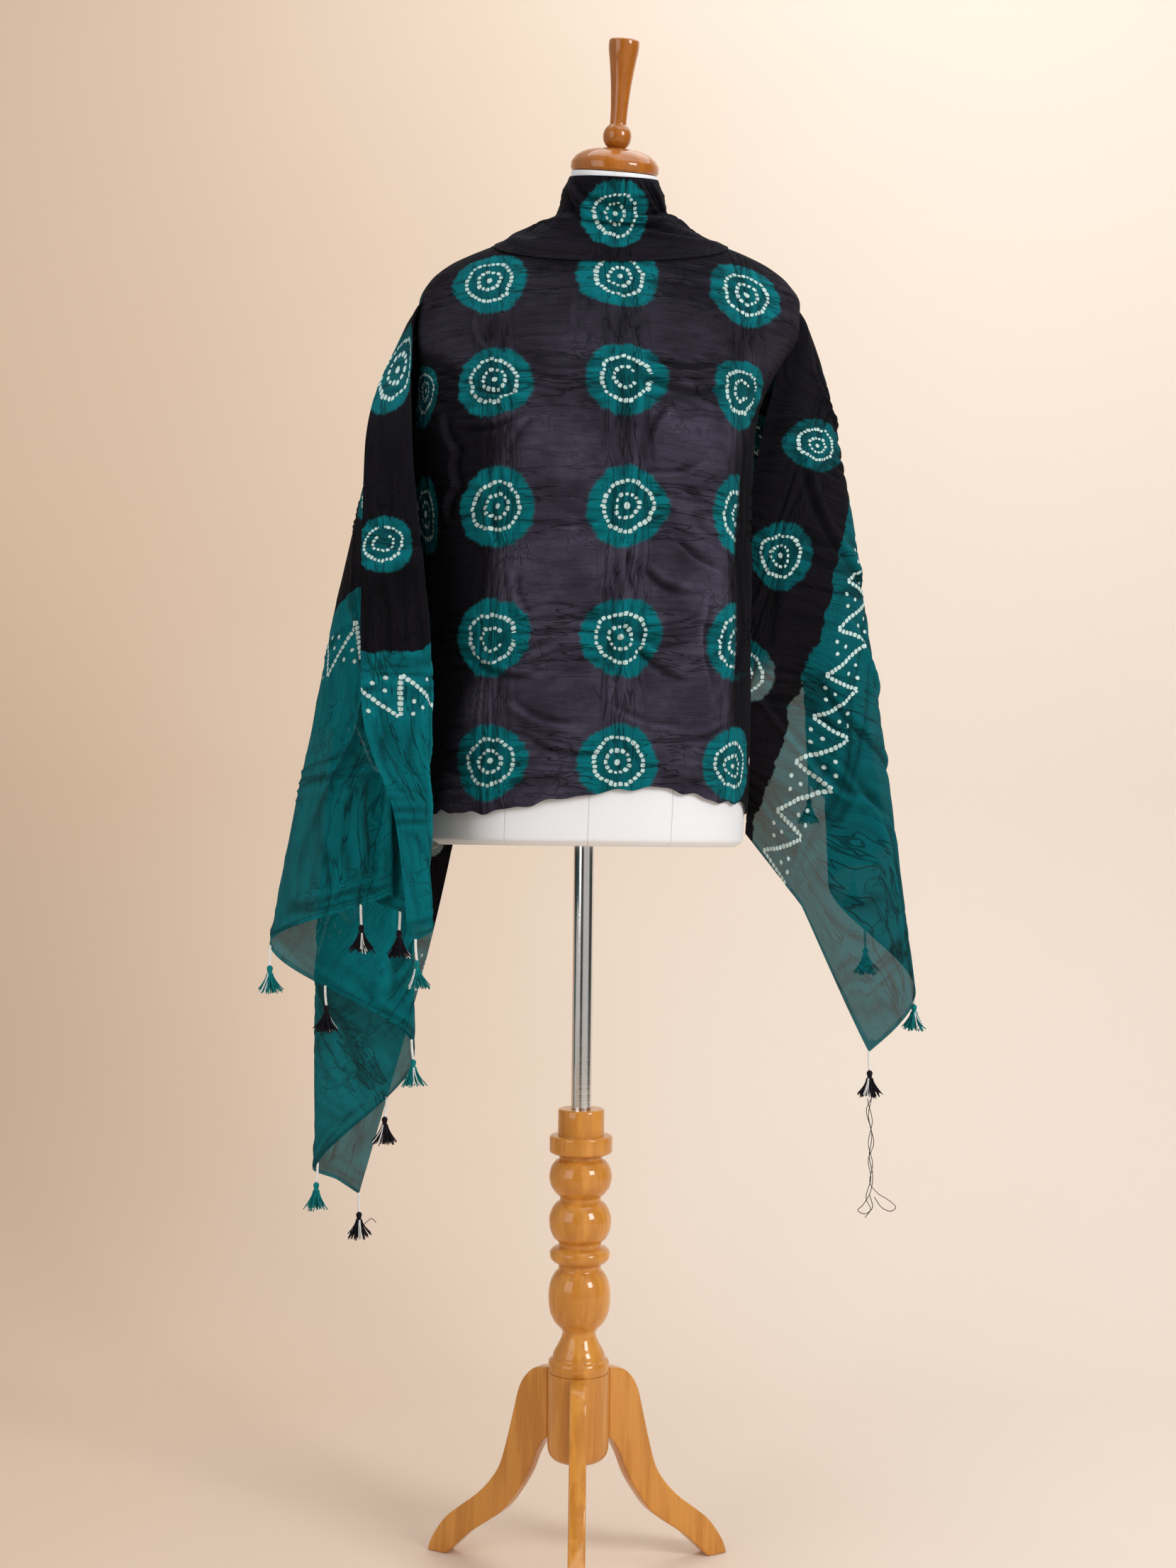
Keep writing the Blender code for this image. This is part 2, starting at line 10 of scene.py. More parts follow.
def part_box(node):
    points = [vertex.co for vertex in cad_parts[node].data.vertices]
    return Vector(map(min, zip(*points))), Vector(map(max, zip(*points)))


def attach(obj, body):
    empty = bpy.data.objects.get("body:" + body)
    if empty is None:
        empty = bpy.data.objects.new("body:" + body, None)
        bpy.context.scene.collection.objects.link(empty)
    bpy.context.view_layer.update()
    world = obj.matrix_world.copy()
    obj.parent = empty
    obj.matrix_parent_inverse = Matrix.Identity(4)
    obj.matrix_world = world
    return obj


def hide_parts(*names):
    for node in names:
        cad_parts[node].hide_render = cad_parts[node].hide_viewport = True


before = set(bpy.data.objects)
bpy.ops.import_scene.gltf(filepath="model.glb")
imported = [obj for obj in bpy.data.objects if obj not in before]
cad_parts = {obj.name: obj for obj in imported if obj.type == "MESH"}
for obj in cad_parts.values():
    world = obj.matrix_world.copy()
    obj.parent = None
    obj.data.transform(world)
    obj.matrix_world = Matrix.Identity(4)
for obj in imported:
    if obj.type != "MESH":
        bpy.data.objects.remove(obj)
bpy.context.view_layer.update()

# The stand's axis, on the floor
POLE_LOW, POLE_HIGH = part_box("pole")
AXIS = Vector(((POLE_LOW.x + POLE_HIGH.x) / 2, (POLE_LOW.y + POLE_HIGH.y) / 2, 0.0))

# Camera: the photograph's size in pixels, its focal length in the same pixels, and its place.
PHOTO_HIGH = 2212
FOCAL = 2650
CAMERA_AT = Vector((0.0035, -2.038, 0.803))
CAMERA_RISE = math.atan(70 / FOCAL)
CAMERA_ROLL = math.radians(0.6)

# Cloth wall in the solids, and how far the cloth lies off what carries it.
WALL = 0.0012
REST = 0.0006

# The form leans to the wearer's left, and its neck leans forward.
FORM_FOOT = 0.790
FORM_SHIFT = 0.003
FORM_LEAN = 0.030
NECK_STARTS = 1.440
NECK_TOP = 1.512
NECK_FORWARD = 0.036
NECK_TILT = math.radians(16)
CAP_SIDE_TILT = math.radians(3.9)
RING_POWER = 2.3
FORM_RINGS = (
    # height, half width, depth in front, depth behind
    (0.7900, 0.160, 0.104, 0.098),
    (0.7970, 0.168, 0.111, 0.104),
    (0.8500, 0.169, 0.113, 0.106),
    (0.9300, 0.156, 0.105, 0.098),
    (1.0200, 0.139, 0.097, 0.086),
    (1.1200, 0.144, 0.107, 0.088),
    (1.2000, 0.149, 0.120, 0.093),
    (1.2500, 0.152, 0.119, 0.096),
    (1.3000, 0.170, 0.106, 0.099),
    (1.3460, 0.189, 0.089, 0.097),
    (1.3800, 0.187, 0.078, 0.090),
    (1.4000, 0.175, 0.072, 0.084),
    (1.4150, 0.158, 0.067, 0.078),
    (1.4300, 0.130, 0.061, 0.071),
    (1.4430, 0.098, 0.056, 0.065),
    (1.4520, 0.076, 0.053, 0.060),
    (1.4630, 0.059, 0.050, 0.055),
    (1.4750, 0.051, 0.048, 0.050),
    (1.4825, 0.0490, 0.0468, 0.0484),
    (1.4900, 0.0475, 0.0460, 0.0470),
    (1.5000, 0.0467, 0.0454, 0.0458),
    (1.5120, 0.0460, 0.045, 0.045),
)

# Inner side of the cloth on the chest and the shoulders.
CLOTH_RINGS = (
    # height, left, right, front, back
    (0.8000, 0.1725, 0.1725, 0.119, 0.112),
    (0.9300, 0.1690, 0.1690, 0.120, 0.110),
    (1.0200, 0.1700, 0.1660, 0.121, 0.105),
    (1.1000, 0.1780, 0.1635, 0.123, 0.102),
    (1.1600, 0.1880, 0.1610, 0.126, 0.101),
    (1.2200, 0.1950, 0.1610, 0.128, 0.103),
    (1.2700, 0.1990, 0.1690, 0.121, 0.106),
    (1.3100, 0.2040, 0.1880, 0.110, 0.107),
    (1.3500, 0.2080, 0.2080, 0.093, 0.104),
    (1.3800, 0.2060, 0.2080, 0.082, 0.096),
    (1.4000, 0.1960, 0.1960, 0.076, 0.089),
    (1.4150, 0.1790, 0.1780, 0.071, 0.083),
    (1.4270, 0.1550, 0.1550, 0.066, 0.077),
    (1.4410, 0.1190, 0.1190, 0.061, 0.071),
    (1.4550, 0.0850, 0.0850, 0.057, 0.064),
    (1.4700, 0.0640, 0.0640, 0.054, 0.058),
)

# Hem of the front stretch: share of the way across, height.
FRONT_HEM = (
    (0.00, 0.822), (0.12, 0.824), (0.25, 0.823), (0.38, 0.831), (0.50, 0.843),
    (0.62, 0.851), (0.74, 0.843), (0.84, 0.836), (0.92, 0.838), (1.00, 0.827),
)
# Small ripples along that hem: how many radians across it, depth, start.
HEM_RIPPLES = ((61.0, 0.0014, 0.4), (103.0, 0.0009, 1.9))
FRONT_SIDE = math.radians(79)
FRONT_SHOULDER = math.radians(103)
FRONT_SPREADS_FROM = 1.270
FRONT_SPREADS_TO = 1.345
FRONT_TOP = 1.414
FRONT_TOP_RISE = 0.036
# The front cloth's sides tuck on round, behind the falls.
FRONT_TUCK = math.radians(100) / FRONT_SIDE
# On the shoulders it runs on under the falls.
FRONT_UNDER = math.radians(20)
FRONT_SPRUNG = (
    # height, left, right
    (0.800, 0.000, 0.000), (0.880, 0.008, 0.002), (0.960, 0.012, 0.003), (1.150, 0.014, 0.003),
    (1.230, 0.010, 0.002), (1.300, 0.000, 0.000),
)

# Collar: its lower edge in front and behind, its top edge, and its parting at the nape.
COLLAR_FRONT = 1.405
COLLAR_FRONT_RISE = 0.037
COLLAR_BACK = 1.442
COLLAR_BACK_DROP = 0.012
COLLAR_TOP = 1.507
COLLAR_PARTED = math.radians(26)
COLLAR_PARTED_TOP = math.radians(2)
CLOTH_STOPS = 1.469
NECK_FROM, NECK_TO = 1.455, 1.472
COLLAR_RISE = (
    # share of the way up, clearance
    (0.00, WALL + 0.0006), (0.25, WALL + 0.0015), (0.50, 0.0075), (0.75, 0.0080),
    (0.90, 0.0035), (1.00, 0.0010),
)

# The falls run on over the shoulders: how far up and how high at most, how flat they lie
# there, and how long that stretch is, as a share of the fall and in cloth.
CROWN_RISE = 0.090
CROWN_HIGHEST = 1.443
CROWN_LIFT = 0.12
CROWN_STEP = 0.24
CROWN_CLOTH = 0.054
# How nearly straight the hem runs from one fold to the next.
HEM_STRAIGHT = 0.75

# Folds of the two falls, from the selvedge in front to the one behind.
LEFT_FOLDS = (
    # on the shoulder: angle, height, lift; then x, y, z at the breast, waist, hips, hem
    ((-84, 1.350, 0.010),
     (-0.232, -0.100, 1.200), (-0.227, -0.140, 0.938), (-0.190, -0.145, 0.812), (-0.175, -0.140, 0.689)),
    ((-75, 1.346, 0.007),
     (-0.181, -0.112, 1.200), (-0.156, -0.136, 0.939), (-0.156, -0.140, 0.812), (-0.151, -0.136, 0.709)),
    ((-88, 1.351, 0.0),
     (-0.203, -0.056, 1.195), (-0.196, -0.085, 0.942), (-0.206, -0.086, 0.812), (-0.215, -0.086, 0.730)),
    ((-92, 1.352, 0.0),
     (-0.213, -0.070, 1.190), (-0.209, -0.110, 0.940), (-0.203, -0.115, 0.828), (-0.200, -0.110, 0.738)),
    ((-97, 1.354, -0.0017),
     (-0.236, -0.030, 1.190), (-0.284, -0.050, 0.944), (-0.309, -0.050, 0.811), (-0.331, -0.050, 0.682)),
    ((-103, 1.358, 0.0),
     (-0.206, 0.012, 1.185), (-0.190, 0.000, 0.947), (-0.184, -0.014, 0.762), (-0.179, -0.018, 0.571)),
    ((-110, 1.366, 0.0),
     (-0.240, 0.040, 1.180), (-0.273, 0.032, 0.949), (-0.292, 0.026, 0.683), (-0.288, 0.018, 0.437)),
    ((-128, 1.398, 0.0),
     (-0.163, 0.099, 1.270), (-0.196, 0.078, 0.950), (-0.226, 0.052, 0.690), (-0.266, 0.030, 0.421)),
    ((-160, 1.432, 0.0),
     (-0.052, 0.120, 1.310), (-0.118, 0.104, 0.956), (-0.166, 0.064, 0.699), (-0.243, 0.034, 0.405)),
)
RIGHT_FOLDS = (
    # on the shoulder: angle, height, lift; then x, y, z at the breast, waist, hips, hem
    ((84, 1.300, 0.0),
     (0.1755, -0.030, 1.150), (0.1765, -0.025, 1.000), (0.1780, -0.010, 0.900), (0.1765, 0.022, 0.805)),
    ((87, 1.342, 0.006),
     (0.215, -0.036, 1.190), (0.222, -0.026, 1.030), (0.230, -0.010, 0.880), (0.236, 0.000, 0.727)),
    ((91, 1.350, 0.012),
     (0.258, -0.020, 1.180), (0.280, -0.020, 1.000), (0.298, -0.008, 0.790), (0.310, 0.000, 0.570)),
    ((96, 1.352, 0.015),
     (0.283, 0.012, 1.183), (0.3135, 0.020, 1.000), (0.342, 0.020, 0.800), (0.3625, 0.020, 0.640)),
    ((102, 1.356, 0.014),
     (0.236, 0.045, 1.190), (0.254, 0.054, 1.030), (0.266, 0.057, 0.880), (0.272, 0.057, 0.749)),
    ((108, 1.364, 0.011),
     (0.264, 0.074, 1.200), (0.298, 0.087, 1.040), (0.325, 0.091, 0.900), (0.345, 0.089, 0.800)),
    ((116, 1.376, 0.007),
     (0.216, 0.098, 1.210), (0.240, 0.112, 1.080), (0.252, 0.120, 0.960), (0.258, 0.124, 0.865)),
    ((127, 1.394, 0.003),
     (0.232, 0.118, 1.240), (0.272, 0.136, 1.120), (0.302, 0.146, 1.010), (0.320, 0.148, 0.935)),
    ((152, 1.428, 0.0),
     (0.135, 0.126, 1.300), (0.175, 0.150, 1.190), (0.208, 0.164, 1.090), (0.228, 0.172, 1.000)),
)

# The stole's own flat coordinates on those folds, in metres. Along it, 0 is the middle
# column of medallions on the chest, and the two end hems lie either side of it. Across it,
# 0 is the selvedge at the bottom of the front.
RIGHT_END = 0.590
LEFT_END = -1.324
STOLE_WIDE = 0.760
LEFT_CLOTH = (
    # distance from the end hem and place across, at the shoulder, breast, waist, hips, hem
    (0.560, 0.035, 0.485, 0.035, 0.250, 0.020, 0.123, 0.010, 0.0, 0.000),
    (0.555, 0.070, 0.480, 0.087, 0.245, 0.091, 0.120, 0.050, 0.0, 0.035),
    (0.530, 0.120, 0.450, 0.147, 0.220, 0.156, 0.100, 0.125, 0.0, 0.119),
    (0.500, 0.150, 0.410, 0.165, 0.190, 0.184, 0.090, 0.155, 0.0, 0.148),
    (0.530, 0.200, 0.440, 0.210, 0.220, 0.280, 0.100, 0.279, 0.0, 0.303),
    (0.780, 0.280, 0.610, 0.262, 0.375, 0.386, 0.190, 0.410, 0.0, 0.494),
    (0.930, 0.360, 0.745, 0.330, 0.510, 0.475, 0.247, 0.550, 0.0, 0.671),
    (0.990, 0.520, 0.860, 0.500, 0.535, 0.600, 0.270, 0.650, 0.0, 0.720),
    (1.050, 0.755, 0.927, 0.755, 0.566, 0.755, 0.305, 0.755, 0.0, 0.755),
)
RIGHT_CLOTH = (
    # distance from the end hem and place across, at the shoulder, breast, waist, hips, hem
    (0.385, 0.499, 0.369, 0.348, 0.324, 0.205, 0.294, 0.110, 0.272, 0.000),
    (0.386, 0.544, 0.343, 0.398, 0.290, 0.247, 0.238, 0.106, 0.170, 0.000),
    (0.378, 0.560, 0.299, 0.401, 0.225, 0.235, 0.154, 0.066, 0.0, 0.000),
    (0.375, 0.585, 0.260, 0.413, 0.175, 0.250, 0.114, 0.101, 0.0, 0.0875),
    (0.375, 0.610, 0.225, 0.455, 0.135, 0.325, 0.070, 0.235, 0.0, 0.245),
    (0.385, 0.635, 0.215, 0.510, 0.120, 0.400, 0.055, 0.335, 0.0, 0.350),
    (0.400, 0.665, 0.215, 0.580, 0.115, 0.510, 0.050, 0.465, 0.0, 0.480),
    (0.425, 0.700, 0.220, 0.650, 0.115, 0.600, 0.050, 0.575, 0.0, 0.590),
    (0.480, 0.755, 0.240, 0.755, 0.130, 0.755, 0.060, 0.755, 0.0, 0.755),
)

# Creases on the front as seen from there: from x, z to x, z, half width, depth.
FRONT_CREASES = (
    (-0.064, 1.228, -0.082, 1.200, 0.0030, 0.0026),
    (0.079, 1.239, 0.063, 1.204, 0.0034, -0.0030),
    (0.033, 1.227, 0.033, 1.180, 0.0026, 0.0022),
    (0.042, 1.103, 0.042, 1.048, 0.0028, 0.0022),
    (0.060, 1.074, 0.102, 1.052, 0.0040, -0.0034),
    (0.090, 1.102, 0.136, 1.075, 0.0042, 0.0036),
    (-0.077, 1.068, -0.064, 1.026, 0.0034, 0.0026),
    (0.062, 1.289, 0.131, 1.286, 0.0030, 0.0026),
    (0.063, 1.270, 0.140, 1.268, 0.0034, -0.0030),
    (-0.078, 0.934, -0.014, 0.910, 0.0040, 0.0030),
    (-0.060, 0.902, 0.010, 0.884, 0.0034, -0.0024),
    (-0.012, 1.378, -0.012, 1.322, 0.0022, 0.0022),
    (0.004, 1.372, 0.003, 1.305, 0.0024, -0.0020),
    (-0.120, 1.352, -0.112, 1.310, 0.0030, 0.0020),
    (-0.126, 1.262, -0.060, 1.256, 0.0030, 0.0024),
    (-0.132, 1.222, -0.075, 1.231, 0.0032, -0.0022),
    (0.020, 1.020, 0.086, 0.988, 0.0046, 0.0034),
    (0.046, 1.004, 0.104, 0.962, 0.0036, -0.0028),
    (-0.040, 1.118, 0.024, 1.126, 0.0028, 0.0020),
    (0.060, 1.170, 0.118, 1.184, 0.0030, 0.0022),
    (-0.120, 0.986, -0.058, 0.962, 0.0040, -0.0026),
    (0.030, 0.930, 0.090, 0.912, 0.0036, 0.0026),
    (0.098, 0.902, 0.146, 0.916, 0.0030, -0.0024),
    (-0.100, 1.150, -0.094, 1.096, 0.0028, 0.0022),
    (0.124, 1.040, 0.128, 0.960, 0.0036, 0.0028),
)
# The edge that curls open beside the chest, on the viewer's left.
CURLED_EDGE = (
    (-0.152, 1.236, -0.136, 1.196, 0.0034, 0.0038),
    (-0.138, 1.204, -0.136, 1.160, 0.0034, 0.0046),
    (-0.136, 1.166, -0.150, 1.134, 0.0034, 0.0040),
)
# Creases on the falls, in distance from the end hem and place across the stole.
LEFT_CREASES = (
    (0.020, 0.060, 0.230, 0.085, 0.0045, 0.0024), (0.050, 0.100, 0.330, 0.118, 0.0040, -0.0020),
    (0.010, 0.160, 0.200, 0.205, 0.0050, 0.0026), (0.060, 0.235, 0.300, 0.215, 0.0045, -0.0024),
    (0.030, 0.320, 0.280, 0.300, 0.0055, 0.0028), (0.120, 0.360, 0.420, 0.345, 0.0050, -0.0026),
    (0.020, 0.430, 0.240, 0.400, 0.0055, 0.0028), (0.060, 0.520, 0.360, 0.480, 0.0050, 0.0024),
    (0.030, 0.590, 0.220, 0.570, 0.0055, -0.0026), (0.080, 0.660, 0.420, 0.620, 0.0050, 0.0026),
    (0.300, 0.130, 0.520, 0.140, 0.0045, 0.0024), (0.420, 0.200, 0.640, 0.190, 0.0045, -0.0022),
    (0.450, 0.480, 0.800, 0.450, 0.0055, 0.0028), (0.300, 0.560, 0.700, 0.590, 0.0050, -0.0024),
)
RIGHT_CREASES = (
    (0.020, 0.060, 0.200, 0.120, 0.0040, 0.0024), (0.040, 0.130, 0.240, 0.190, 0.0040, -0.0022),
    (0.020, 0.180, 0.220, 0.260, 0.0045, 0.0026), (0.120, 0.090, 0.300, 0.160, 0.0040, 0.0022),
    (0.180, 0.300, 0.340, 0.420, 0.0045, -0.0024), (0.060, 0.330, 0.200, 0.420, 0.0045, 0.0024),
    (0.260, 0.480, 0.380, 0.560, 0.0045, 0.0022), (0.020, 0.440, 0.200, 0.480, 0.0045, -0.0024),
    (0.020, 0.560, 0.240, 0.600, 0.0045, 0.0024), (0.030, 0.680, 0.300, 0.690, 0.0045, -0.0024),
)
# Folds of the collar, by angle and height, and the radius that makes the angles lengths.
NECK_RADIUS = 0.07
COLLAR_CREASES = (
    (-1.10, 1.500, 0.90, 1.462, 0.0042, 0.0034), (-0.95, 1.484, 0.55, 1.446, 0.0036, -0.0026),
    (0.55, 1.502, 1.25, 1.452, 0.0042, 0.0042), (0.85, 1.500, 1.50, 1.462, 0.0036, -0.0034),
    (-1.45, 1.470, -0.60, 1.430, 0.0040, 0.0034), (0.10, 1.444, 1.20, 1.438, 0.0036, 0.0030),
    (1.70, 1.490, 2.60, 1.456, 0.0045, 0.0034), (-2.60, 1.490, -1.60, 1.462, 0.0045, 0.0034),
    (2.10, 1.470, 2.90, 1.446, 0.0040, -0.0026), (-2.90, 1.462, -1.90, 1.442, 0.0040, -0.0026),
)

# Medallions: pitch of the grid, and the first row's place across the stole.
PITCH = 0.132
FIRST_ROW = 0.050
ROW_HEIGHTS = (0.745, 0.8765, 1.0036, 1.139, 1.272, 1.3906)
CHEST_MIDDLE = 0.027
CHEST_STRETCH = 0.95
CHEST_SHIFT = (
    # height, how far the columns lie to the viewer's left there
    (0.8765, -0.002), (1.0036, 0.000), (1.139, -0.001), (1.272, 0.006), (1.3906, 0.017), (1.440, 0.020),
)
CHEST_LIT = (
    # height, left and right limits of the part with painted light from the white form behind, painted shade
    # lying beyond them, and how much painted light it gets
    (0.800, -0.160, 0.154, 0.85), (0.930, -0.125, 0.152, 1.00), (1.000, -0.100, 0.150, 1.00),
    (1.100, -0.095, 0.150, 1.00), (1.200, -0.098, 0.156, 0.98), (1.250, -0.105, 0.172, 0.85),
    (1.290, -0.135, 0.190, 0.62), (1.330, -0.195, 0.215, 0.45), (1.380, -0.230, 0.230, 0.40),
    (1.415, -0.230, 0.230, 0.05),
)
# Round on the left the cloth gathers, so that the next column of medallions shows.
CHEST_GATHER = 0.045

# Tassels: place along the hem, counted in folds, and colour.
LEFT_TASSELS = (
    (8.00, "dark"), (5.97, "teal"), (5.40, "dark"), (4.93, "teal"), (4.42, "dark"),
    (4.02, "teal"), (3.25, "dark"), (1.57, "dark"), (0.20, "teal"),
)
RIGHT_TASSELS = (
    (2.00, "dark"), (3.00, "teal"), (3.54, "teal"), (4.45, "dark"), (5.30, "teal"),
    (6.00, "dark"), (6.60, "teal"), (7.30, "dark"), (8.00, "teal"),
)

# Turned column: height and radius up its outer side.
HUB_PROFILE = (
    (0.1300, 0.0200), (0.1330, 0.0275), (0.1400, 0.0320), (0.1480, 0.0330), (0.2247, 0.0330),
)
COLUMN_PROFILE = (
    (0.2249, 0.0322), (0.2265, 0.0326), (0.2310, 0.0330), (0.2370, 0.0322), (0.2400, 0.0285),
    (0.2445, 0.0277), (0.2540, 0.0225), (0.2660, 0.0180), (0.2700, 0.0195), (0.2790, 0.0275),
    (0.2920, 0.0325), (0.3060, 0.0336), (0.3200, 0.0318), (0.3310, 0.0262), (0.3345, 0.0230),
    (0.3400, 0.0230), (0.3425, 0.0285), (0.3475, 0.0322), (0.3520, 0.0325), (0.3570, 0.0290),
    (0.3590, 0.0232), (0.3630, 0.0232), (0.3680, 0.0285), (0.3780, 0.0328), (0.3880, 0.0337),
    (0.3980, 0.0310), (0.4050, 0.0262), (0.4080, 0.0222), (0.4110, 0.0222), (0.4160, 0.0270),
    (0.4240, 0.0322), (0.4330, 0.0340), (0.4420, 0.0325), (0.4500, 0.0275), (0.4530, 0.0232),
    (0.4560, 0.0232), (0.4585, 0.0315), (0.4610, 0.0340), (0.4755, 0.0340), (0.4775, 0.0325),
    (0.4778, 0.0252), (0.5045, 0.0250), (0.5060, 0.0235),
)
POLE_PROFILE = ((0.5063, 0.0111), (0.7897, 0.0111))
CAP_AT = Vector((0.0250, -0.0365, 1.5128))
CAP_PROFILE = (
    (0.0000, 0.0455), (0.0030, 0.0475), (0.0080, 0.0473), (0.0140, 0.0440), (0.0195, 0.0372),
    (0.0235, 0.0270), (0.0250, 0.0160), (0.0252, 0.0100),
)
FINIAL_PROFILE = (
    (0.0256, 0.0092), (0.0290, 0.0126), (0.0330, 0.0146), (0.0380, 0.0152), (0.0430, 0.0142),
    (0.0475, 0.0112), (0.0500, 0.0088), (0.0600, 0.0090), (0.0850, 0.0106), (0.1100, 0.0136),
    (0.1290, 0.0162), (0.1330, 0.0160), (0.1352, 0.0142), (0.1358, 0.0100),
)
TURNED_SIDES = 72

# Leg board: distance from the axis and height, round the outer edge and back inside.
LEG_THICK = 0.018
LEG_ROUND = 0.0026
LEG_OUTER = (
    (0.0336, 0.2255), (0.0500, 0.2230), (0.0625, 0.2130), (0.0710, 0.1980), (0.0770, 0.1750),
    (0.0850, 0.1430), (0.0950, 0.1105), (0.1070, 0.0920), (0.1240, 0.0740), (0.1470, 0.0560),
    (0.1645, 0.0415), (0.1760, 0.0270), (0.1850, 0.0120), (0.1890, 0.0000),
)
LEG_INNER = (
    (0.1645, 0.0000), (0.1470, 0.0165), (0.1325, 0.0300), (0.1100, 0.0460), (0.0895, 0.0620),
    (0.0730, 0.0830), (0.0585, 0.1070), (0.0500, 0.1275), (0.0400, 0.1450), (0.0336, 0.1510),
)
LEG_ANGLES = (("leg_front", -90), ("leg_left", 150), ("leg_right", 30))

# Tassel: its cord's length, root, turns, twist and thread, then its head and its skirt.
CORD_LONG = 0.0205
CORD_ROOT = 0.0012
CORD_TURNS = 7
CORD_TWIST = 0.0007
CORD_THREAD = 0.000806
HEAD_PROFILE = (
    (0.0000, 0.0009), (0.0008, 0.0022), (0.0026, 0.0033), (0.0050, 0.0030), (0.0065, 0.0024),
    (0.0080, 0.0026), (0.0105, 0.0037),
)
HEAD_TOP = 0.001 - CORD_LONG
HEAD_SIDES = 14
SKIRT_STRANDS = 72
SKIRT_ROOT = 0.0032
SKIRT_LONG = 0.0212
SKIRT_SPREAD = 0.0112
# Turn from one strand to the next, so that they fill a disc evenly.
GOLDEN_TURN = 2.39996
STRAND_RADIUS = 0.00055
STRAY_RADIUS = 0.00042
# White strands show on one side of a skirt: which side, and half the arc they take.
WHITE_FACES = (-2.1, -1.3, 0.4)
WHITE_HALF = 0.26
# Threads that have come loose: each tassel's, as routes from the head's foot.
LOOSE_THREADS = {
    ("right", 1): (
        ((0.0, 0.0, 0.0), (0.002, -0.001, -0.020), (-0.001, 0.0, -0.040), (0.003, 0.001, -0.062),
         (0.0, -0.001, -0.084), (0.004, 0.0, -0.104), (0.002, 0.001, -0.122), (-0.006, 0.0, -0.136),
         (-0.012, -0.001, -0.142), (-0.004, 0.0, -0.146), (0.004, 0.0, -0.139), (0.001, 0.001, -0.126)),
        ((0.001, 0.0, 0.0), (-0.002, 0.0, -0.022), (0.003, -0.001, -0.046), (-0.001, 0.0, -0.070),
         (0.004, 0.001, -0.092), (0.001, 0.0, -0.112), (0.010, 0.0, -0.124), (0.020, -0.001, -0.130),
         (0.029, 0.0, -0.138), (0.024, 0.001, -0.143), (0.014, 0.0, -0.139), (0.006, 0.0, -0.128)),
        ((-0.001, 0.0, 0.0), (0.004, 0.0, -0.016), (-0.003, 0.001, -0.034), (0.001, 0.0, -0.052),
         (0.005, 0.0, -0.070), (-0.001, -0.001, -0.088), (0.002, 0.0, -0.108), (-0.003, 0.0, -0.128),
         (0.002, 0.001, -0.141), (-0.004, 0.0, -0.150)),
    ),
    ("left", 1): (
        ((0.0, 0.0, 0.0), (0.004, -0.001, -0.006), (0.009, -0.001, -0.002), (0.014, 0.0, 0.001),
         (0.019, 0.0, -0.003)),
    ),
}


def smooth(keys, values, at, rounded=False):
    """Values at many places, on a smooth curve through those at the keys.

    The values are rows, one a key, or a row for each place at each key. The curve never
    overshoots, unless it is rounded as cloth is at its folds.
    """
    keys, values = np.asarray(keys, float), np.asarray(values, float)
    steps = np.diff(keys)
    rise = np.diff(values, axis=0) / steps.reshape((-1,) + (1,) * (values.ndim - 1))
    slopes = np.zeros_like(values)
    slopes[0], slopes[-1] = rise[0], rise[-1]
    before, after = rise[:-1], rise[1:]
    if rounded:
        slopes[1:-1] = (before + after) / 2
    else:
        same_way = before * after > 0
        both = np.where(same_way, before + after, 1.0)
        slopes[1:-1] = np.where(same_way, 2 * before * after / both, 0.0)
    at = np.clip(np.asarray(at, float), keys[0], keys[-1])
    i = np.clip(np.searchsorted(keys, at) - 1, 0, len(keys) - 2)
    t, step = ((at - keys[i]) / steps[i])[:, None], steps[i][:, None]
    low, high = (i, i + 1) if values.ndim == 2 else ((i, range(len(at))), (i + 1, range(len(at))))
    return (
        (2 * t**3 - 3 * t**2 + 1) * values[low]
        + (t**3 - 2 * t**2 + t) * step * slopes[low]
        + (3 * t**2 - 2 * t**3) * values[high]
        + (t**3 - t**2) * step * slopes[high]
    )


def from_table(rows, at):
    table = np.asarray(rows, float)
    return smooth(table[:, 0], table[:, 1:], at)


def ease(start, end, at):
    t = np.clip((np.asarray(at, float) - start) / (end - start), 0.0, 1.0)
    return t * t * (3 - 2 * t)


def ring_points(angle, height, left, right, front, back):
    """Points on rounded rings round the form's leaning centre line. Angle 0 is in front."""
    sine, cosine = np.sin(angle), np.cos(angle)
    across = np.sign(sine) * np.abs(sine) ** (2 / RING_POWER)
    along = np.sign(cosine) * np.abs(cosine) ** (2 / RING_POWER)
    x = across * np.where(sine > 0, right, left)
    y = -along * np.where(cosine > 0, front, back)
    neck = ease(NECK_STARTS, NECK_TOP, height)
    return np.column_stack([
        FORM_SHIFT + FORM_LEAN * (height - FORM_FOOT) + x,
        y - NECK_FORWARD * neck,
        height + math.tan(NECK_TILT) * neck * y - math.tan(CAP_SIDE_TILT) * neck * x,
    ])


def form_points(angle, height):
    half, front, back = from_table(FORM_RINGS, height).T
    return ring_points(angle, height, half, half, front, back)


def form_middle(height):
    """The form's centre line, halfway between its front and its back."""
    front = np.zeros_like(height)
    return (form_points(front, height) + form_points(front + math.pi, height)) / 2


def cloth_points(angle, height, out=0.0):
    """Points on the cloth's inner side, or moved out from it along its normal."""
    def base(a, h):
        return ring_points(a, h, *from_table(CLOTH_RINGS, h).T)

    here = base(angle, height)
    normal = np.cross(base(angle + 0.02, height) - here, base(angle, height + 0.002) - here)
    return here + normal / np.linalg.norm(normal, axis=1)[:, None] * np.reshape(out, (-1, 1))


def deselect():
    for obj in bpy.context.selected_objects:
        obj.select_set(False)


def mode(name):
    bpy.ops.object.mode_set(mode=name)


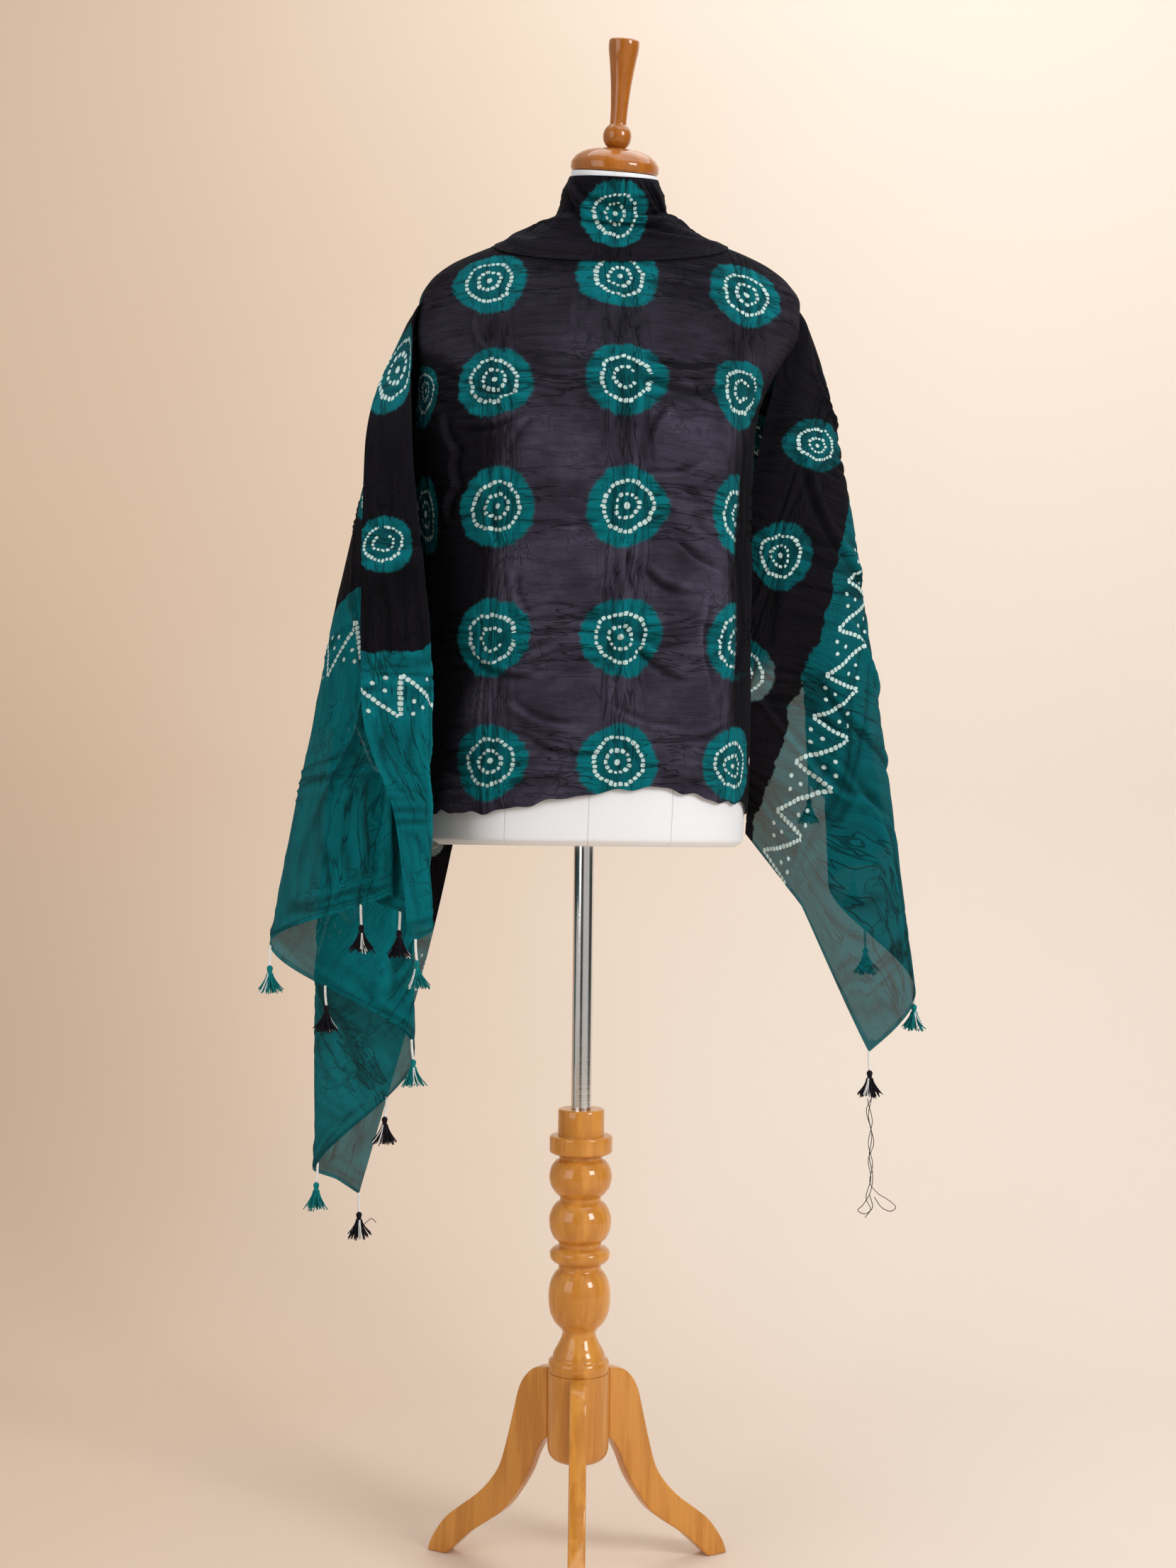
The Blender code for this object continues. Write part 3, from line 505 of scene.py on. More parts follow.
def corners(obj):
    found = np.zeros(len(obj.data.vertices) * 3)
    obj.data.vertices.foreach_get("co", found)
    return found.reshape(-1, 3)


def move_corners(obj, places):
    obj.data.vertices.foreach_set("co", np.asarray(places, float).ravel())
    obj.data.update()


def face_outward():
    """Turns all faces outward, and leaves edit mode."""
    bpy.ops.mesh.select_all(action="SELECT")
    bpy.ops.mesh.normals_make_consistent(inside=False)
    mode("OBJECT")


def settle(obj):
    """Puts the piece's place into its mesh, and leaves its object at the origin."""
    deselect()
    obj.select_set(True)
    bpy.context.view_layer.objects.active = obj
    bpy.ops.object.transform_apply(location=True, rotation=True, scale=True)


def lay_flat(obj, layer, places):
    """Gives each corner of the mesh its place in a flat layer."""
    loops = np.zeros(len(obj.data.loops), int)
    obj.data.loops.foreach_get("vertex_index", loops)
    layer.data.foreach_set("uv", places[loops].ravel())


def finish_piece(obj, name, node, material=None):
    """Names the piece. One with no material given keeps those that it has."""
    obj.name = name
    obj.data.name = name
    if material:
        obj.data.materials.clear()
        obj.data.materials.append(material)
    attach(obj, "root")
    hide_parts(node)
    return obj


# Leaves out the third number of a place on the flat cloth.
FLAT = (1.0, 1.0, 0.0)


class Value:
    """What a node gives. Sums, products and comparisons of values are nodes as well."""

    def __init__(self, shader, socket):
        self.shader = shader
        self.socket = socket

    def __add__(self, other):
        return self.shader.math("ADD", self, other)

    def __radd__(self, other):
        return self.shader.math("ADD", other, self)

    def __sub__(self, other):
        return self.shader.math("SUBTRACT", self, other)

    def __rsub__(self, other):
        return self.shader.math("SUBTRACT", other, self)

    def __mul__(self, other):
        return self.shader.math("MULTIPLY", self, other)

    def __truediv__(self, other):
        return self.shader.math("DIVIDE", self, other)

    def __gt__(self, other):
        return self.shader.math("GREATER_THAN", self, other)

    def __lt__(self, other):
        return self.shader.math("LESS_THAN", self, other)

    def __abs__(self):
        return self.shader.math("ABSOLUTE", self)


class Shader:
    """Adds nodes to a material or a node group, and joins each to what it works from."""

    def __init__(self, tree):
        self.tree = tree

    def node(self, kind, *values, **settings):
        made = self.tree.nodes.new("ShaderNode" + kind)
        for name, value in settings.items():
            setattr(made, name, value)
        sockets = [socket for socket in made.inputs if socket.enabled]
        for socket, value in zip(sockets, values):
            self.feed(socket, value)
        return made

    def feed(self, socket, value):
        if isinstance(value, Value):
            self.tree.links.new(value.socket, socket)
        elif value is not None:
            socket.default_value = value

    def fill(self, sockets, **values):
        """Feeds sockets by name: border_at feeds the one that is called Border at."""
        for name, value in values.items():
            self.feed(sockets[name.replace("_", " ").capitalize()], value)

    def give(self, made, label=0):
        return Value(self, made.outputs[label])

    def use(self, group, **values):
        made = self.tree.nodes.new("ShaderNodeGroup")
        made.node_tree = group
        self.fill(made.inputs, **values)
        return {socket.name: Value(self, socket) for socket in made.outputs}

    def math(self, operation, *values, clamp=False):
        return self.give(self.node("Math", *values, operation=operation, use_clamp=clamp))

    def most(self, first, *others, clamp=False):
        for other in others:
            first = self.math("MAXIMUM", first, other, clamp=clamp)
        return first

    def vector(self, operation, *values):
        made = self.node("VectorMath", *values, operation=operation)
        return self.give(made, "Value" if operation in ("LENGTH", "DISTANCE", "DOT_PRODUCT") else "Vector")

    def point(self, x, y, z=None):
        return self.give(self.node("CombineXYZ", x, y, z))

    def parts(self, place):
        return [Value(self, socket) for socket in self.node("SeparateXYZ", place).outputs]

    def object_place(self):
        return self.give(self.node("TexCoord"), "Object")

    def ramp(self, value, low, high, start=0.0, end=1.0):
        """Smooth step of a value from low to high."""
        return self.give(self.node("MapRange", value, low, high, start, end, interpolation_type="SMOOTHSTEP"))

    def mix(self, share, first, second, blend="MIX"):
        made = self.tree.nodes.new("ShaderNodeMix")
        made.data_type = "RGBA"
        made.blend_type = blend
        for socket, value in ((made.inputs[0], share), (made.inputs[6], first), (made.inputs[7], second)):
            self.feed(socket, value)
        return self.give(made, 2)

    def noise(self, place, scale, detail=2.0, rough=0.5, output="Fac"):
        made = self.node("TexNoise")
        self.feed(made.inputs["Vector"], place)
        made.inputs["Scale"].default_value = scale
        made.inputs["Detail"].default_value = detail
        made.inputs["Roughness"].default_value = rough
        return self.give(made, output)

    def streaks(self, place, stretch, detail=2.0, rough=0.5):
        """Noise with a scale of its own along each axis."""
        return self.noise(self.vector("MULTIPLY", place, stretch), 1.0, detail, rough)

    def shaken(self, place, source, scale, amount):
        """A place in the plane, pushed about by noise."""
        warp = self.noise(source, scale, 1.0, output="Color")
        bend = self.node("VectorMath", self.vector("SUBTRACT", warp, (0.5, 0.5, 0.5)), operation="SCALE")
        bend.inputs["Scale"].default_value = amount
        return self.vector("MULTIPLY", self.vector("ADD", place, self.give(bend)), FLAT)

    def chances(self, cell):
        """Three random values for each whole-numbered cell."""
        draw = self.node("TexWhiteNoise", noise_dimensions="2D")
        self.feed(draw.inputs["Vector"], cell)
        colour = self.node("SeparateColor", self.give(draw, "Color"))
        return [Value(self, socket) for socket in colour.outputs]


def floats(*labels):
    return tuple((label, "Float") for label in labels)


def new_group(name, inputs, outputs):
    """A node group, its shader, what it is given by name, and the sockets for what it makes."""
    group = bpy.data.node_groups.new(name, "ShaderNodeTree")
    for way, rows in (("INPUT", inputs), ("OUTPUT", outputs)):
        for label, kind in rows:
            group.interface.new_socket(label, in_out=way, socket_type="NodeSocket" + kind)
    s = Shader(group)
    start = group.nodes.new("NodeGroupInput")
    end = group.nodes.new("NodeGroupOutput")
    given = {socket.name: Value(s, socket) for socket in start.outputs}
    return group, s, given, end.inputs


def dot_ring_group():
    """White tied dots on a ring, squarish and uneven, with an open stretch on some."""
    group, s, given, made = new_group(
        "ring of tied dots",
        floats("Angle", "Distance", "Radius", "Count", "Dot", "Chance", "Opening"),
        floats("Dots"),
    )
    turn = given["Angle"] / (2 * math.pi) * given["Count"]
    random = s.chances(s.point(s.math("FLOOR", turn), given["Chance"]))
    pitch = given["Radius"] * (2 * math.pi) / given["Count"]
    across = abs((s.math("FRACT", turn) - 0.5) * pitch)
    wobble = (random[0] - 0.5) * given["Dot"]
    out = abs(given["Distance"] - given["Radius"] - wobble)
    square = s.most(across, out)
    round_one = s.math("SQRT", across * across + out * out)
    far = square * 0.55 + round_one * 0.45
    size = given["Dot"] * (0.86 + random[1] * 0.34)
    opened = abs(given["Angle"]) > given["Opening"]
    s.fill(made, dots=s.ramp(size - far, -0.00015, 0.00035) * opened)
    return group


MEDALLION_RINGS = (
    # radius, number of dots, half a dot, which chance it draws, half its opening in radians
    (0.0248, 29.0, 0.0022, 1, 0.14),
    (0.0118, 13.0, 0.0021, 0, 0.50),
)
# How unround a medallion is, and how far its blot reaches at least and at most.
UNROUND = 0.035
BLOT_LEAST, BLOT_MOST = 0.0345, 0.0475


def medallion_group(ring):
    """Medallions of dots on feathery blots, on the grid that the cloth was tied to."""
    group, s, given, made = new_group(
        "tied medallions",
        (("Place", "Vector"), ("Size", "Float")),
        floats("Blot", "Dots", "Inside", "Column", "Row"),
    )
    grid = (PITCH, PITCH, 1.0)
    shift = s.vector("SUBTRACT", given["Place"], (0.0, FIRST_ROW, 0.0))
    cell = s.vector("FLOOR", s.vector("ADD", s.vector("DIVIDE", shift, grid), (0.5, 0.5, 0.5)))
    local = s.vector("SUBTRACT", shift, s.vector("MULTIPLY", cell, grid))
    chance = s.chances(cell)
    order = s.vector("DOT_PRODUCT", cell, (0.10, 0.40, 0.0))
    opened = s.math("FRACT", order + 0.65) > 0.76
    x, y, _ = s.parts(s.shaken(local, given["Place"], 34.0, 0.0085))
    x, y = x / given["Size"], y / given["Size"]
    far = s.vector("LENGTH", s.point(x, y))
    angle = s.math("ARCTAN2", y, x)
    even = far * (1.0 + s.math("COSINE", angle * 3.0 + chance[0] * 6.3) * UNROUND)
    dots = s.ramp(far, 0.0034, 0.0027) * (1.0 - opened)
    for radius, count, dot, draw, half in MEDALLION_RINGS:
        ringed = s.use(ring, angle=angle, distance=even, radius=radius, count=count, dot=dot,
                       chance=chance[draw], opening=opened * half)
        dots = s.most(dots, ringed["Dots"])
    spokes = s.point(s.math("COSINE", angle), s.math("SINE", angle), chance[0] * 40.0)
    edge = BLOT_LEAST + s.noise(spokes, 7.0, 6.0, 0.75) * (BLOT_MOST - BLOT_LEAST)
    s.fill(
        made, dots=dots,
        blot=s.ramp(edge - even, -0.0016, 0.0026),
        inside=s.ramp(even, 0.0252, 0.0215),
        column=s.ramp(abs(x), 0.034, 0.012),
        row=s.ramp(abs(y), 0.050, 0.014),
    )
    return group


def stroke(s, place, start, end, pitch, dot):
    """A row of dots from start to end, as a mask."""
    run = Vector(end) - Vector(start)
    length = run.length
    way = run / length
    side = Vector((-way.y, way.x, 0.0))
    offset = s.vector("SUBTRACT", place, tuple(start))
    along = s.vector("DOT_PRODUCT", offset, tuple(way))
    out = s.vector("DOT_PRODUCT", offset, tuple(side))
    along_dot = (s.math("FRACT", along / pitch) - 0.5) * pitch
    square = s.most(abs(along_dot), abs(out))
    round_one = s.vector("LENGTH", s.point(along_dot, out))
    dots = s.ramp(square * 0.4 + round_one * 0.6, dot * 1.06, dot * 0.86)
    return dots * ((along > 0.0) * (along < length))


# Zigzag near each end, in its own period: distance towards the hem, then across.
ZIGZAG_PERIOD = 0.050
ZIGZAG_HALF = 0.0205
ZIGZAG_LEAN = 0.007
ZIGZAG_DOT = 0.0024
NOOK_DOTS = (
    (0.006, 0.015), (0.018, 0.013), (0.013, 0.025),
    (-0.006, 0.041), (-0.018, 0.044), (-0.014, 0.032),
)


def zigzag_group():
    """A zigzag of tied dots across the stole, with three dots in each nook."""
    group, s, given, made = new_group("tied zigzag", floats("Outward", "Across"), floats("Dots"))
    turn = s.math("FRACT", given["Across"] / ZIGZAG_PERIOD)
    place = s.point(given["Outward"], turn * ZIGZAG_PERIOD)
    place = s.shaken(place, s.point(given["Outward"], given["Across"]), 60.0, 0.0035)
    start, turned_back, end = (
        (ZIGZAG_HALF, 0.001, 0.0), (-ZIGZAG_HALF, ZIGZAG_LEAN, 0.0), (ZIGZAG_HALF, ZIGZAG_PERIOD, 0.0),
    )
    dots = s.most(
        stroke(s, place, start, turned_back, 0.0052, ZIGZAG_DOT),
        stroke(s, place, turned_back, end, 0.0051, ZIGZAG_DOT),
    )
    for outward, across in NOOK_DOTS:
        far = s.vector("DISTANCE", place, (outward, across, 0.0))
        dots = s.most(dots, s.ramp(far, 0.0025, 0.0018))
    s.fill(made, dots=dots)
    return group


# Dark cloth, and the colours it is painted where the lit mask puts painted light on it from the white form
# behind: evenly, in paler patches, and in specks.
DARK = (0.0045, 0.0038, 0.0062, 1.0)
DARK_LIT = (0.0240, 0.0200, 0.0330, 1.0)
DARK_LIT_PATCH = (0.0470, 0.0420, 0.0660, 1.0)
DARK_SPECK = (0.0950, 0.0850, 0.1000, 1.0)
TEAL = (0.0006, 0.128, 0.150, 1.0)
TEAL_DEEP = (0.0004, 0.068, 0.080, 1.0)
TIED_WHITE = (0.50, 0.66, 0.64, 1.0)
SHEER_DARK = 0.9985
SHEER_TEAL = 0.920
HEM_WIDE = 0.0045
# Creases' lines of painted shade along, across and astray: how often they come in each direction.
LINE_STRETCHES = ((9.0, 62.0, 1.0), (62.0, 8.0, 1.0), (34.0, 30.0, 1.0))
# Painted shade in a fold's trough and painted highlight on its ridge, and how much painted shade darkens a
# crease's line.
TROUGH, RIDGE, LINE_DARK = 0.50, 1.32, 0.54


def dye_group(medallions, zigzag):
    """Colour, density and pucker of the dyed cloth, from its own flat coordinates, with painted light and
    shade from the Lit and Fold inputs.
    """
    group, s, given, made = new_group(
        "tie-dyed cloth",
        (("Place", "Vector"),) + floats("Lit", "Fold", "Plain", "Solid", "Border at", "Zigzag at",
                                        "End at", "Way", "Size", "Depth"),
        (("Colour", "Color"), ("Alpha", "Float"), ("Height", "Float")),
    )
    place = given["Place"]
    along, across, _ = s.parts(place)
    from_end = (given["End at"] - along) * given["Way"]
    ragged = (s.noise(place, 9.0, 6.0, 0.62) - 0.5) * 0.060
    border = s.ramp(given["Border at"] - (from_end + ragged), -0.0008, 0.0012)
    outside = s.math("SUBTRACT", 1.0 - border, given["Plain"], clamp=True)
    tied = s.use(medallions, place=place, size=given["Size"])
    outward = given["Zigzag at"] - from_end
    zigzag_dots = s.use(zigzag, outward=outward, across=across)["Dots"] * s.ramp(abs(outward), 0.032, 0.028)
    dots = s.most(tied["Dots"] * outside, zigzag_dots)
    teal_area = s.most(tied["Blot"] * outside, border)
    # Dyes: dark cloth with painted light, in paler patches and specks, where the lit mask says the white form
    # behind shows through, and teal that is deeper inside the medallions
    patchy = s.noise(place, 14.0, 5.0, 0.6)
    painted_lit = s.mix(s.ramp(patchy, 0.36, 0.64), DARK_LIT, DARK_LIT_PATCH)
    painted_lit = s.mix(s.ramp(s.noise(place, 210.0, 3.0, 0.7), 0.66, 0.74) * 0.55, painted_lit, DARK_SPECK)
    dark = s.mix(given["Lit"], DARK, painted_lit)
    teal = s.mix(s.most(tied["Inside"] * outside * 0.62, given["Depth"]), TEAL, TEAL_DEEP)
    teal = s.mix(s.ramp(patchy, 0.62, 0.30) * 0.40, teal, TEAL_DEEP)
    colour = s.mix(teal_area, dark, teal)
    # Lines of small creases, level beside the medallions' columns and upright in them
    flat = s.vector("MULTIPLY", place, FLAT)
    bend = s.vector("MULTIPLY", s.noise(place, 20.0, 1.0, output="Color"), (0.012, 0.012, 0.0))
    bent = s.vector("ADD", flat, bend)
    level, upright, stray = (
        s.ramp(abs(s.streaks(bent, stretch, 3.0, 0.6) - 0.5), 0.020, 0.0) for stretch in LINE_STRETCHES
    )
    column = tied["Column"] * outside
    beside = 1.0 - column
    stray = stray * s.ramp(patchy, 0.50, 0.62, 0.0, 0.6)
    line = s.most(level * beside * (tied["Row"] + 0.25), upright * column, stray, clamp=True)
    # Painted shade in the folds' troughs and along the crease lines, and painted highlight on the ridges.
    painted_fold_light = s.give(s.node("MapRange", given["Fold"], 0.0, 1.0, TROUGH, RIDGE)) * (1.0 - line * LINE_DARK)
    colour = s.mix(1.0, colour, s.give(s.node("CombineColor", painted_fold_light, painted_fold_light, painted_fold_light)), "MULTIPLY")
    colour = s.mix(dots, colour, TIED_WHITE)
    # Density: dots and the turned hem are closest, and teal cloth is thinner than dark
    near_side = s.math("MINIMUM", across, STOLE_WIDE - across)
    hem = s.ramp(s.math("MINIMUM", near_side, abs(from_end)), HEM_WIDE, HEM_WIDE - 0.0008)
    weave = s.streaks(flat, (300.0, 1500.0, 1.0)) + s.streaks(flat, (1500.0, 300.0, 1.0))
    sheer = SHEER_DARK + teal_area * (SHEER_TEAL - SHEER_DARK)
    alpha = sheer + (weave - 1.0) * 0.06 * teal_area + given["Lit"] * 0.08
    alpha = s.most(alpha, given["Plain"], given["Solid"], hem * 0.97, dots * 0.97, clamp=True)
    # Height: crinkles, puckered dots, the weave and the hem's edge
    crinkle = (
        s.streaks(flat, (16.0, 150.0, 1.0), 3.0, 0.55) * beside
        + s.streaks(flat, (190.0, 14.0, 1.0), 3.0, 0.55) * column
    )
    crinkle = crinkle * outside + s.streaks(flat, (22.0, 90.0, 1.0)) * border - line * 0.42
    height = crinkle + dots * 0.40 + weave * 0.06 + hem * 0.5
    s.fill(made, colour=colour, alpha=alpha, height=height)
    return group


def new_material(name, roughness, **constants):
    material = bpy.data.materials.new(name)
    material.use_nodes = True
    surface = material.node_tree.nodes["Principled BSDF"]
    surface.inputs["Roughness"].default_value = roughness
    for label, value in constants.items():
        surface.inputs[label.replace("_", " ")].default_value = value
    return material, Shader(material.node_tree), surface


def bump(s, surface, height, distance, strength=1.0):
    made = s.node("Bump")
    made.inputs["Strength"].default_value = strength
    made.inputs["Distance"].default_value = distance
    s.feed(made.inputs["Height"], height)
    s.feed(surface.inputs["Normal"], s.give(made, "Normal"))


def cloth_material(name, dye, **pattern):
    """Dyed cloth. The pattern says where its end, border and zigzag lie, and its medallions' size."""
    material, s, surface = new_material(
        name, 0.85, Sheen_Weight=0.02, Sheen_Roughness=0.5, Specular_IOR_Level=0.06,
    )
    flat = s.give(s.node("UVMap", uv_map="cloth"))
    # The lit and fold attributes carry painted light and painted shade.
    shades = {
        label: s.give(s.node("Attribute", attribute_name=label), "Fac")
        for label in ("lit", "fold", "plain", "solid")
    }
    used = s.use(dye, place=flat, **shades, **pattern)
    s.feed(surface.inputs["Base Color"], used["Colour"])
    s.feed(surface.inputs["Alpha"], used["Alpha"])
    bump(s, surface, used["Height"], 0.0042, 0.9)
    return material


def grain_group():
    """Long streaks of wood grain, with soft darker bands."""
    group, s, given, made = new_group(
        "wood grain",
        (("Place", "Vector"), ("Pale", "Color"), ("Deep", "Color"), ("Bands", "Float")),
        (("Colour", "Color"), ("Height", "Float"), ("Roughness", "Float")),
    )
    streaks = s.streaks(given["Place"], (60.0, 60.0, 5.0), 5.0, 0.62)
    fine = s.streaks(given["Place"], (420.0, 420.0, 22.0), 3.0, 0.6)
    bands = s.math("SINE", (streaks + given["Bands"] * 0.1) * 26.0)
    share = s.ramp(streaks, 0.30, 0.72) * 0.65 + bands * 0.08
    share = s.math("ADD", share, (fine - 0.5) * 0.5, clamp=True)
    s.fill(
        made, colour=s.mix(share, given["Pale"], given["Deep"]),
        height=streaks + fine * 0.4, roughness=0.30 + streaks * 0.16,
    )
    return group


def wood_material(name, grain, pale, deep, bands):
    material, s, surface = new_material(
        name, 0.36, Coat_Weight=0.90, Coat_Roughness=0.06, Specular_IOR_Level=0.10,
    )
    used = s.use(grain, place=s.object_place(), pale=pale, deep=deep, bands=bands)
    s.feed(surface.inputs["Base Color"], used["Colour"])
    s.feed(surface.inputs["Roughness"], used["Roughness"])
    bump(s, surface, used["Height"], 0.0004, 0.35)
    return material


TUBE_BRIGHT, TUBE_DULL = (0.80, 0.78, 0.76, 1.0), (0.30, 0.27, 0.25, 1.0)


def chrome_material():
    material, s, surface = new_material("polished tube", 0.16, Metallic=1.0)
    place = s.object_place()
    rings = s.streaks(place, (2.0, 2.0, 160.0), 4.0, 0.7)
    s.feed(surface.inputs["Base Color"], s.mix(s.ramp(rings, 0.58, 0.74), TUBE_BRIGHT, TUBE_DULL))
    s.feed(surface.inputs["Roughness"], 0.08 + s.noise(place, 38.0, 4.0) * 0.12)
    bump(s, surface, rings, 0.0003, 0.25)
    return material


JERSEY, JERSEY_SOILED, SEAM_COLOUR = (0.80, 0.81, 0.84, 1.0), (0.73, 0.74, 0.78, 1.0), (0.42, 0.42, 0.46, 1.0)
SEAM_TURNS = (-0.1535, 0.0, 0.1535)
SEAM_HALF = 0.0016


def form_material():
    """White jersey with a seam down the middle and one at each side of it."""
    material, s, surface = new_material("white jersey", 0.62, Sheen_Weight=0.08)
    place = s.object_place()
    turn, _, _ = s.parts(s.give(s.node("UVMap", uv_map="form")))
    seam = s.most(*(s.ramp(abs(turn - at), SEAM_HALF, 0.0) for at in SEAM_TURNS))
    knit = s.noise(place, 900.0, 2.0)
    soil = s.noise(place, 11.0, 4.0)
    colour = s.mix(s.ramp(soil, 0.45, 0.8) * 0.25, JERSEY, JERSEY_SOILED)
    s.feed(surface.inputs["Base Color"], s.mix(seam * 0.32, colour, SEAM_COLOUR))
    bump(s, surface, knit * 0.25 - seam * 1.2, 0.0006, 0.6)
    return material


def thread_material(name, colour, other, roughness):
    material, s, surface = new_material(name, roughness, Sheen_Weight=0.03, Specular_IOR_Level=0.12)
    place = s.object_place()
    uneven = s.noise(place, 420.0, 2.0)
    s.feed(surface.inputs["Base Color"], s.mix(s.ramp(uneven, 0.35, 0.7), colour, other))
    bump(s, surface, s.noise(place, 2600.0, 1.0), 0.0002, 0.6)
    return material


# Paper colour at the viewer's left, deepened by painted shade, and at the right.
PAPER_LEFT, PAPER_RIGHT = (0.735, 0.570, 0.430, 1.0), (0.82, 0.727, 0.640, 1.0)


def sweep_material():
    """Warm paper, with painted shade that deepens its tone towards the viewer's left."""
    material, s, surface = new_material("warm paper sweep", 0.95, Specular_IOR_Level=0.0)
    place = s.object_place()
    x, _, _ = s.parts(place)
    side = x + (s.noise(place, 1.1, 3.0, 0.55) - 0.5) * 0.7
    # The camera sees through the paper's back, so that the part shows from behind as well.
    camera_ray = s.give(s.node("LightPath"), "Is Camera Ray")
    s.feed(surface.inputs["Alpha"], 1.0 - camera_ray * s.give(s.node("NewGeometry"), "Backfacing"))
    # Painted shade: the paper darkens towards the viewer's left, with a little noise in where it turns.
    s.feed(surface.inputs["Base Color"], s.mix(s.ramp(side, -1.2, 0.9), PAPER_LEFT, PAPER_RIGHT))
    return material


def drawn_on(spots, radii, sides):
    """A disc drawn on to each height in turn, and resized there."""
    deselect()
    bpy.ops.mesh.primitive_circle_add(
        vertices=sides, radius=radii[0], fill_type="NGON", location=(0.0, 0.0, spots[0]),
    )
    mode("EDIT")
    bpy.ops.mesh.select_all(action="SELECT")
    for here, there, last, radius in zip(spots[:-1], spots[1:], radii[:-1], radii[1:]):
        bpy.ops.mesh.extrude_region_move(TRANSFORM_OT_translate={"value": (0.0, 0.0, there - here)})
        bpy.ops.transform.resize(value=(radius / last, radius / last, 1.0))
    face_outward()
    return bpy.context.object


def turned(name, profile, material, at=None, fine=3):
    """A turned piece, with its profile's points joined by a smooth curve."""
    table = np.asarray(profile, float)
    spots = np.interp(np.arange((len(table) - 1) * fine + 1) / fine, np.arange(len(table)), table[:, 0])
    radii = smooth(table[:, 0], table[:, 1:], spots)[:, 0]
    piece = drawn_on(spots, radii, TURNED_SIDES)
    bpy.ops.object.shade_smooth_by_angle(angle=math.radians(38))
    piece.matrix_world = Matrix.Translation(AXIS) @ (at or Matrix.Identity(4)) @ piece.matrix_world
    settle(piece)
    return finish_piece(piece, name + "_turned", name, material)


def leg_outline():
    points = []
    for rows, side in ((LEG_OUTER, 1), (LEG_INNER, -1)):
        table = np.asarray(rows if side > 0 else rows[::-1], float)
        count = 4 * (len(table) - 1)
        edge = smooth(np.arange(len(table)), table, np.arange(count + 1) / 4)
        points += list(edge if side > 0 else edge[::-1])
    return points


def legs(material):
    """Each leg is a flat outline drawn to the board's thickness, with its edges rounded."""
    outline = leg_outline()
    for name, degrees in LEG_ANGLES:
        deselect()
        bpy.ops.mesh.primitive_circle_add(vertices=len(outline), radius=0.1, fill_type="NGON")
        leg = bpy.context.object
        move_corners(leg, [(across, -LEG_THICK / 2, height) for across, height in outline])
        mode("EDIT")
        bpy.ops.mesh.select_all(action="SELECT")
        bpy.ops.mesh.extrude_region_move(TRANSFORM_OT_translate={"value": (0.0, LEG_THICK, 0.0)})
        face_outward()
        rounding = leg.modifiers.new("rounded edges", "BEVEL")
        rounding.width = LEG_ROUND
        rounding.segments = 4
        rounding.limit_method = "ANGLE"
        rounding.angle_limit = math.radians(50)
        bpy.ops.object.modifier_apply(modifier=rounding.name)
        bpy.ops.object.shade_smooth_by_angle(angle=math.radians(35))
        leg.matrix_world = Matrix.Translation(AXIS) @ Matrix.Rotation(math.radians(degrees), 4, "Z")
        settle(leg)
        finish_piece(leg, name + "_board", name, material)


FORM_ROUND = 144
FORM_ROWS = 150


def dress_form(material):
    """The form, shaped from a ball: its rings follow the table from the foot to the neck."""
    deselect()
    bpy.ops.mesh.primitive_uv_sphere_add(segments=FORM_ROUND, ring_count=FORM_ROWS)
    form = bpy.context.object
    ball = corners(form)
    ring = np.round((1 - np.arccos(np.clip(ball[:, 2], -1, 1)) / math.pi) * FORM_ROWS).astype(int)
    angle = np.arctan2(ball[:, 0], -ball[:, 1])
    # The first and the last few rings draw in to the form's flat ends.
    first, last = 4, FORM_ROWS - 3
    table = np.asarray(FORM_RINGS, float)
    rows = np.clip((ring - first) / (last - first), 0, 1)
    heights = np.interp(rows * (len(table) - 1), np.arange(len(table)), table[:, 0])
    places = form_points(angle, heights)
    middle = form_middle(heights)
    share = np.interp(ring, (0, first, last, FORM_ROWS), (0, 1, 1, 0))
    move_corners(form, middle + (places - middle) * share[:, None] + np.array(AXIS))
    mode("EDIT")
    face_outward()
    bpy.ops.object.shade_smooth_by_angle(angle=math.radians(50))
    lay_flat(form, form.data.uv_layers.new(name="form"), np.column_stack([angle / math.pi, heights]))
    form.data.uv_layers.remove(form.data.uv_layers[0])
    return finish_piece(form, "form_jersey", "dress_form", material)


def front_places(u, v):
    """Places on the front stretch, with their angles round the form and their heights."""
    across = 0.5 + (u - 0.5) * FRONT_TUCK
    low = from_table(FRONT_HEM, np.clip(across, 0.0, 1.0))[:, 0]
    for quick, depth, start in HEM_RIPPLES:
        low = low + depth * np.sin(quick * across + start)
    height = low
    # How far a row spreads depends on its height, and its height on that, so in rounds.
    for _ in range(3):
        spread = ease(FRONT_SPREADS_FROM, FRONT_SPREADS_TO, height)
        side = FRONT_SIDE + (FRONT_SHOULDER - FRONT_SIDE) * spread
        angle = side * (2 * across - 1)
        limit = FRONT_SHOULDER + FRONT_UNDER * ease(1.325, 1.350, height)
        angle = np.clip(angle, -limit, limit)
        top = FRONT_TOP + FRONT_TOP_RISE * np.sin(angle) ** 2
        height = low + (top - low) * v
    places = cloth_points(angle, height, WALL / 2)
    left, right = from_table(FRONT_SPRUNG, height).T
    places[:, 0] += ease(0.6, 1.0, np.sin(angle)) * right - ease(0.6, 1.0, -np.sin(angle)) * left
    return places, angle, height


def lengths(places, count, rows):
    """Distance along each row of a grid of places, and up each column, from its start."""
    grid = places.reshape(rows + 1, count + 1, 3)
    along = np.linalg.norm(np.diff(grid, axis=1), axis=2).cumsum(axis=1)
    along = np.concatenate([np.zeros((rows + 1, 1)), along], axis=1)
    up = np.linalg.norm(np.diff(grid, axis=0), axis=2).cumsum(axis=0)
    up = np.concatenate([np.zeros((1, count + 1)), up], axis=0)
    return along, up


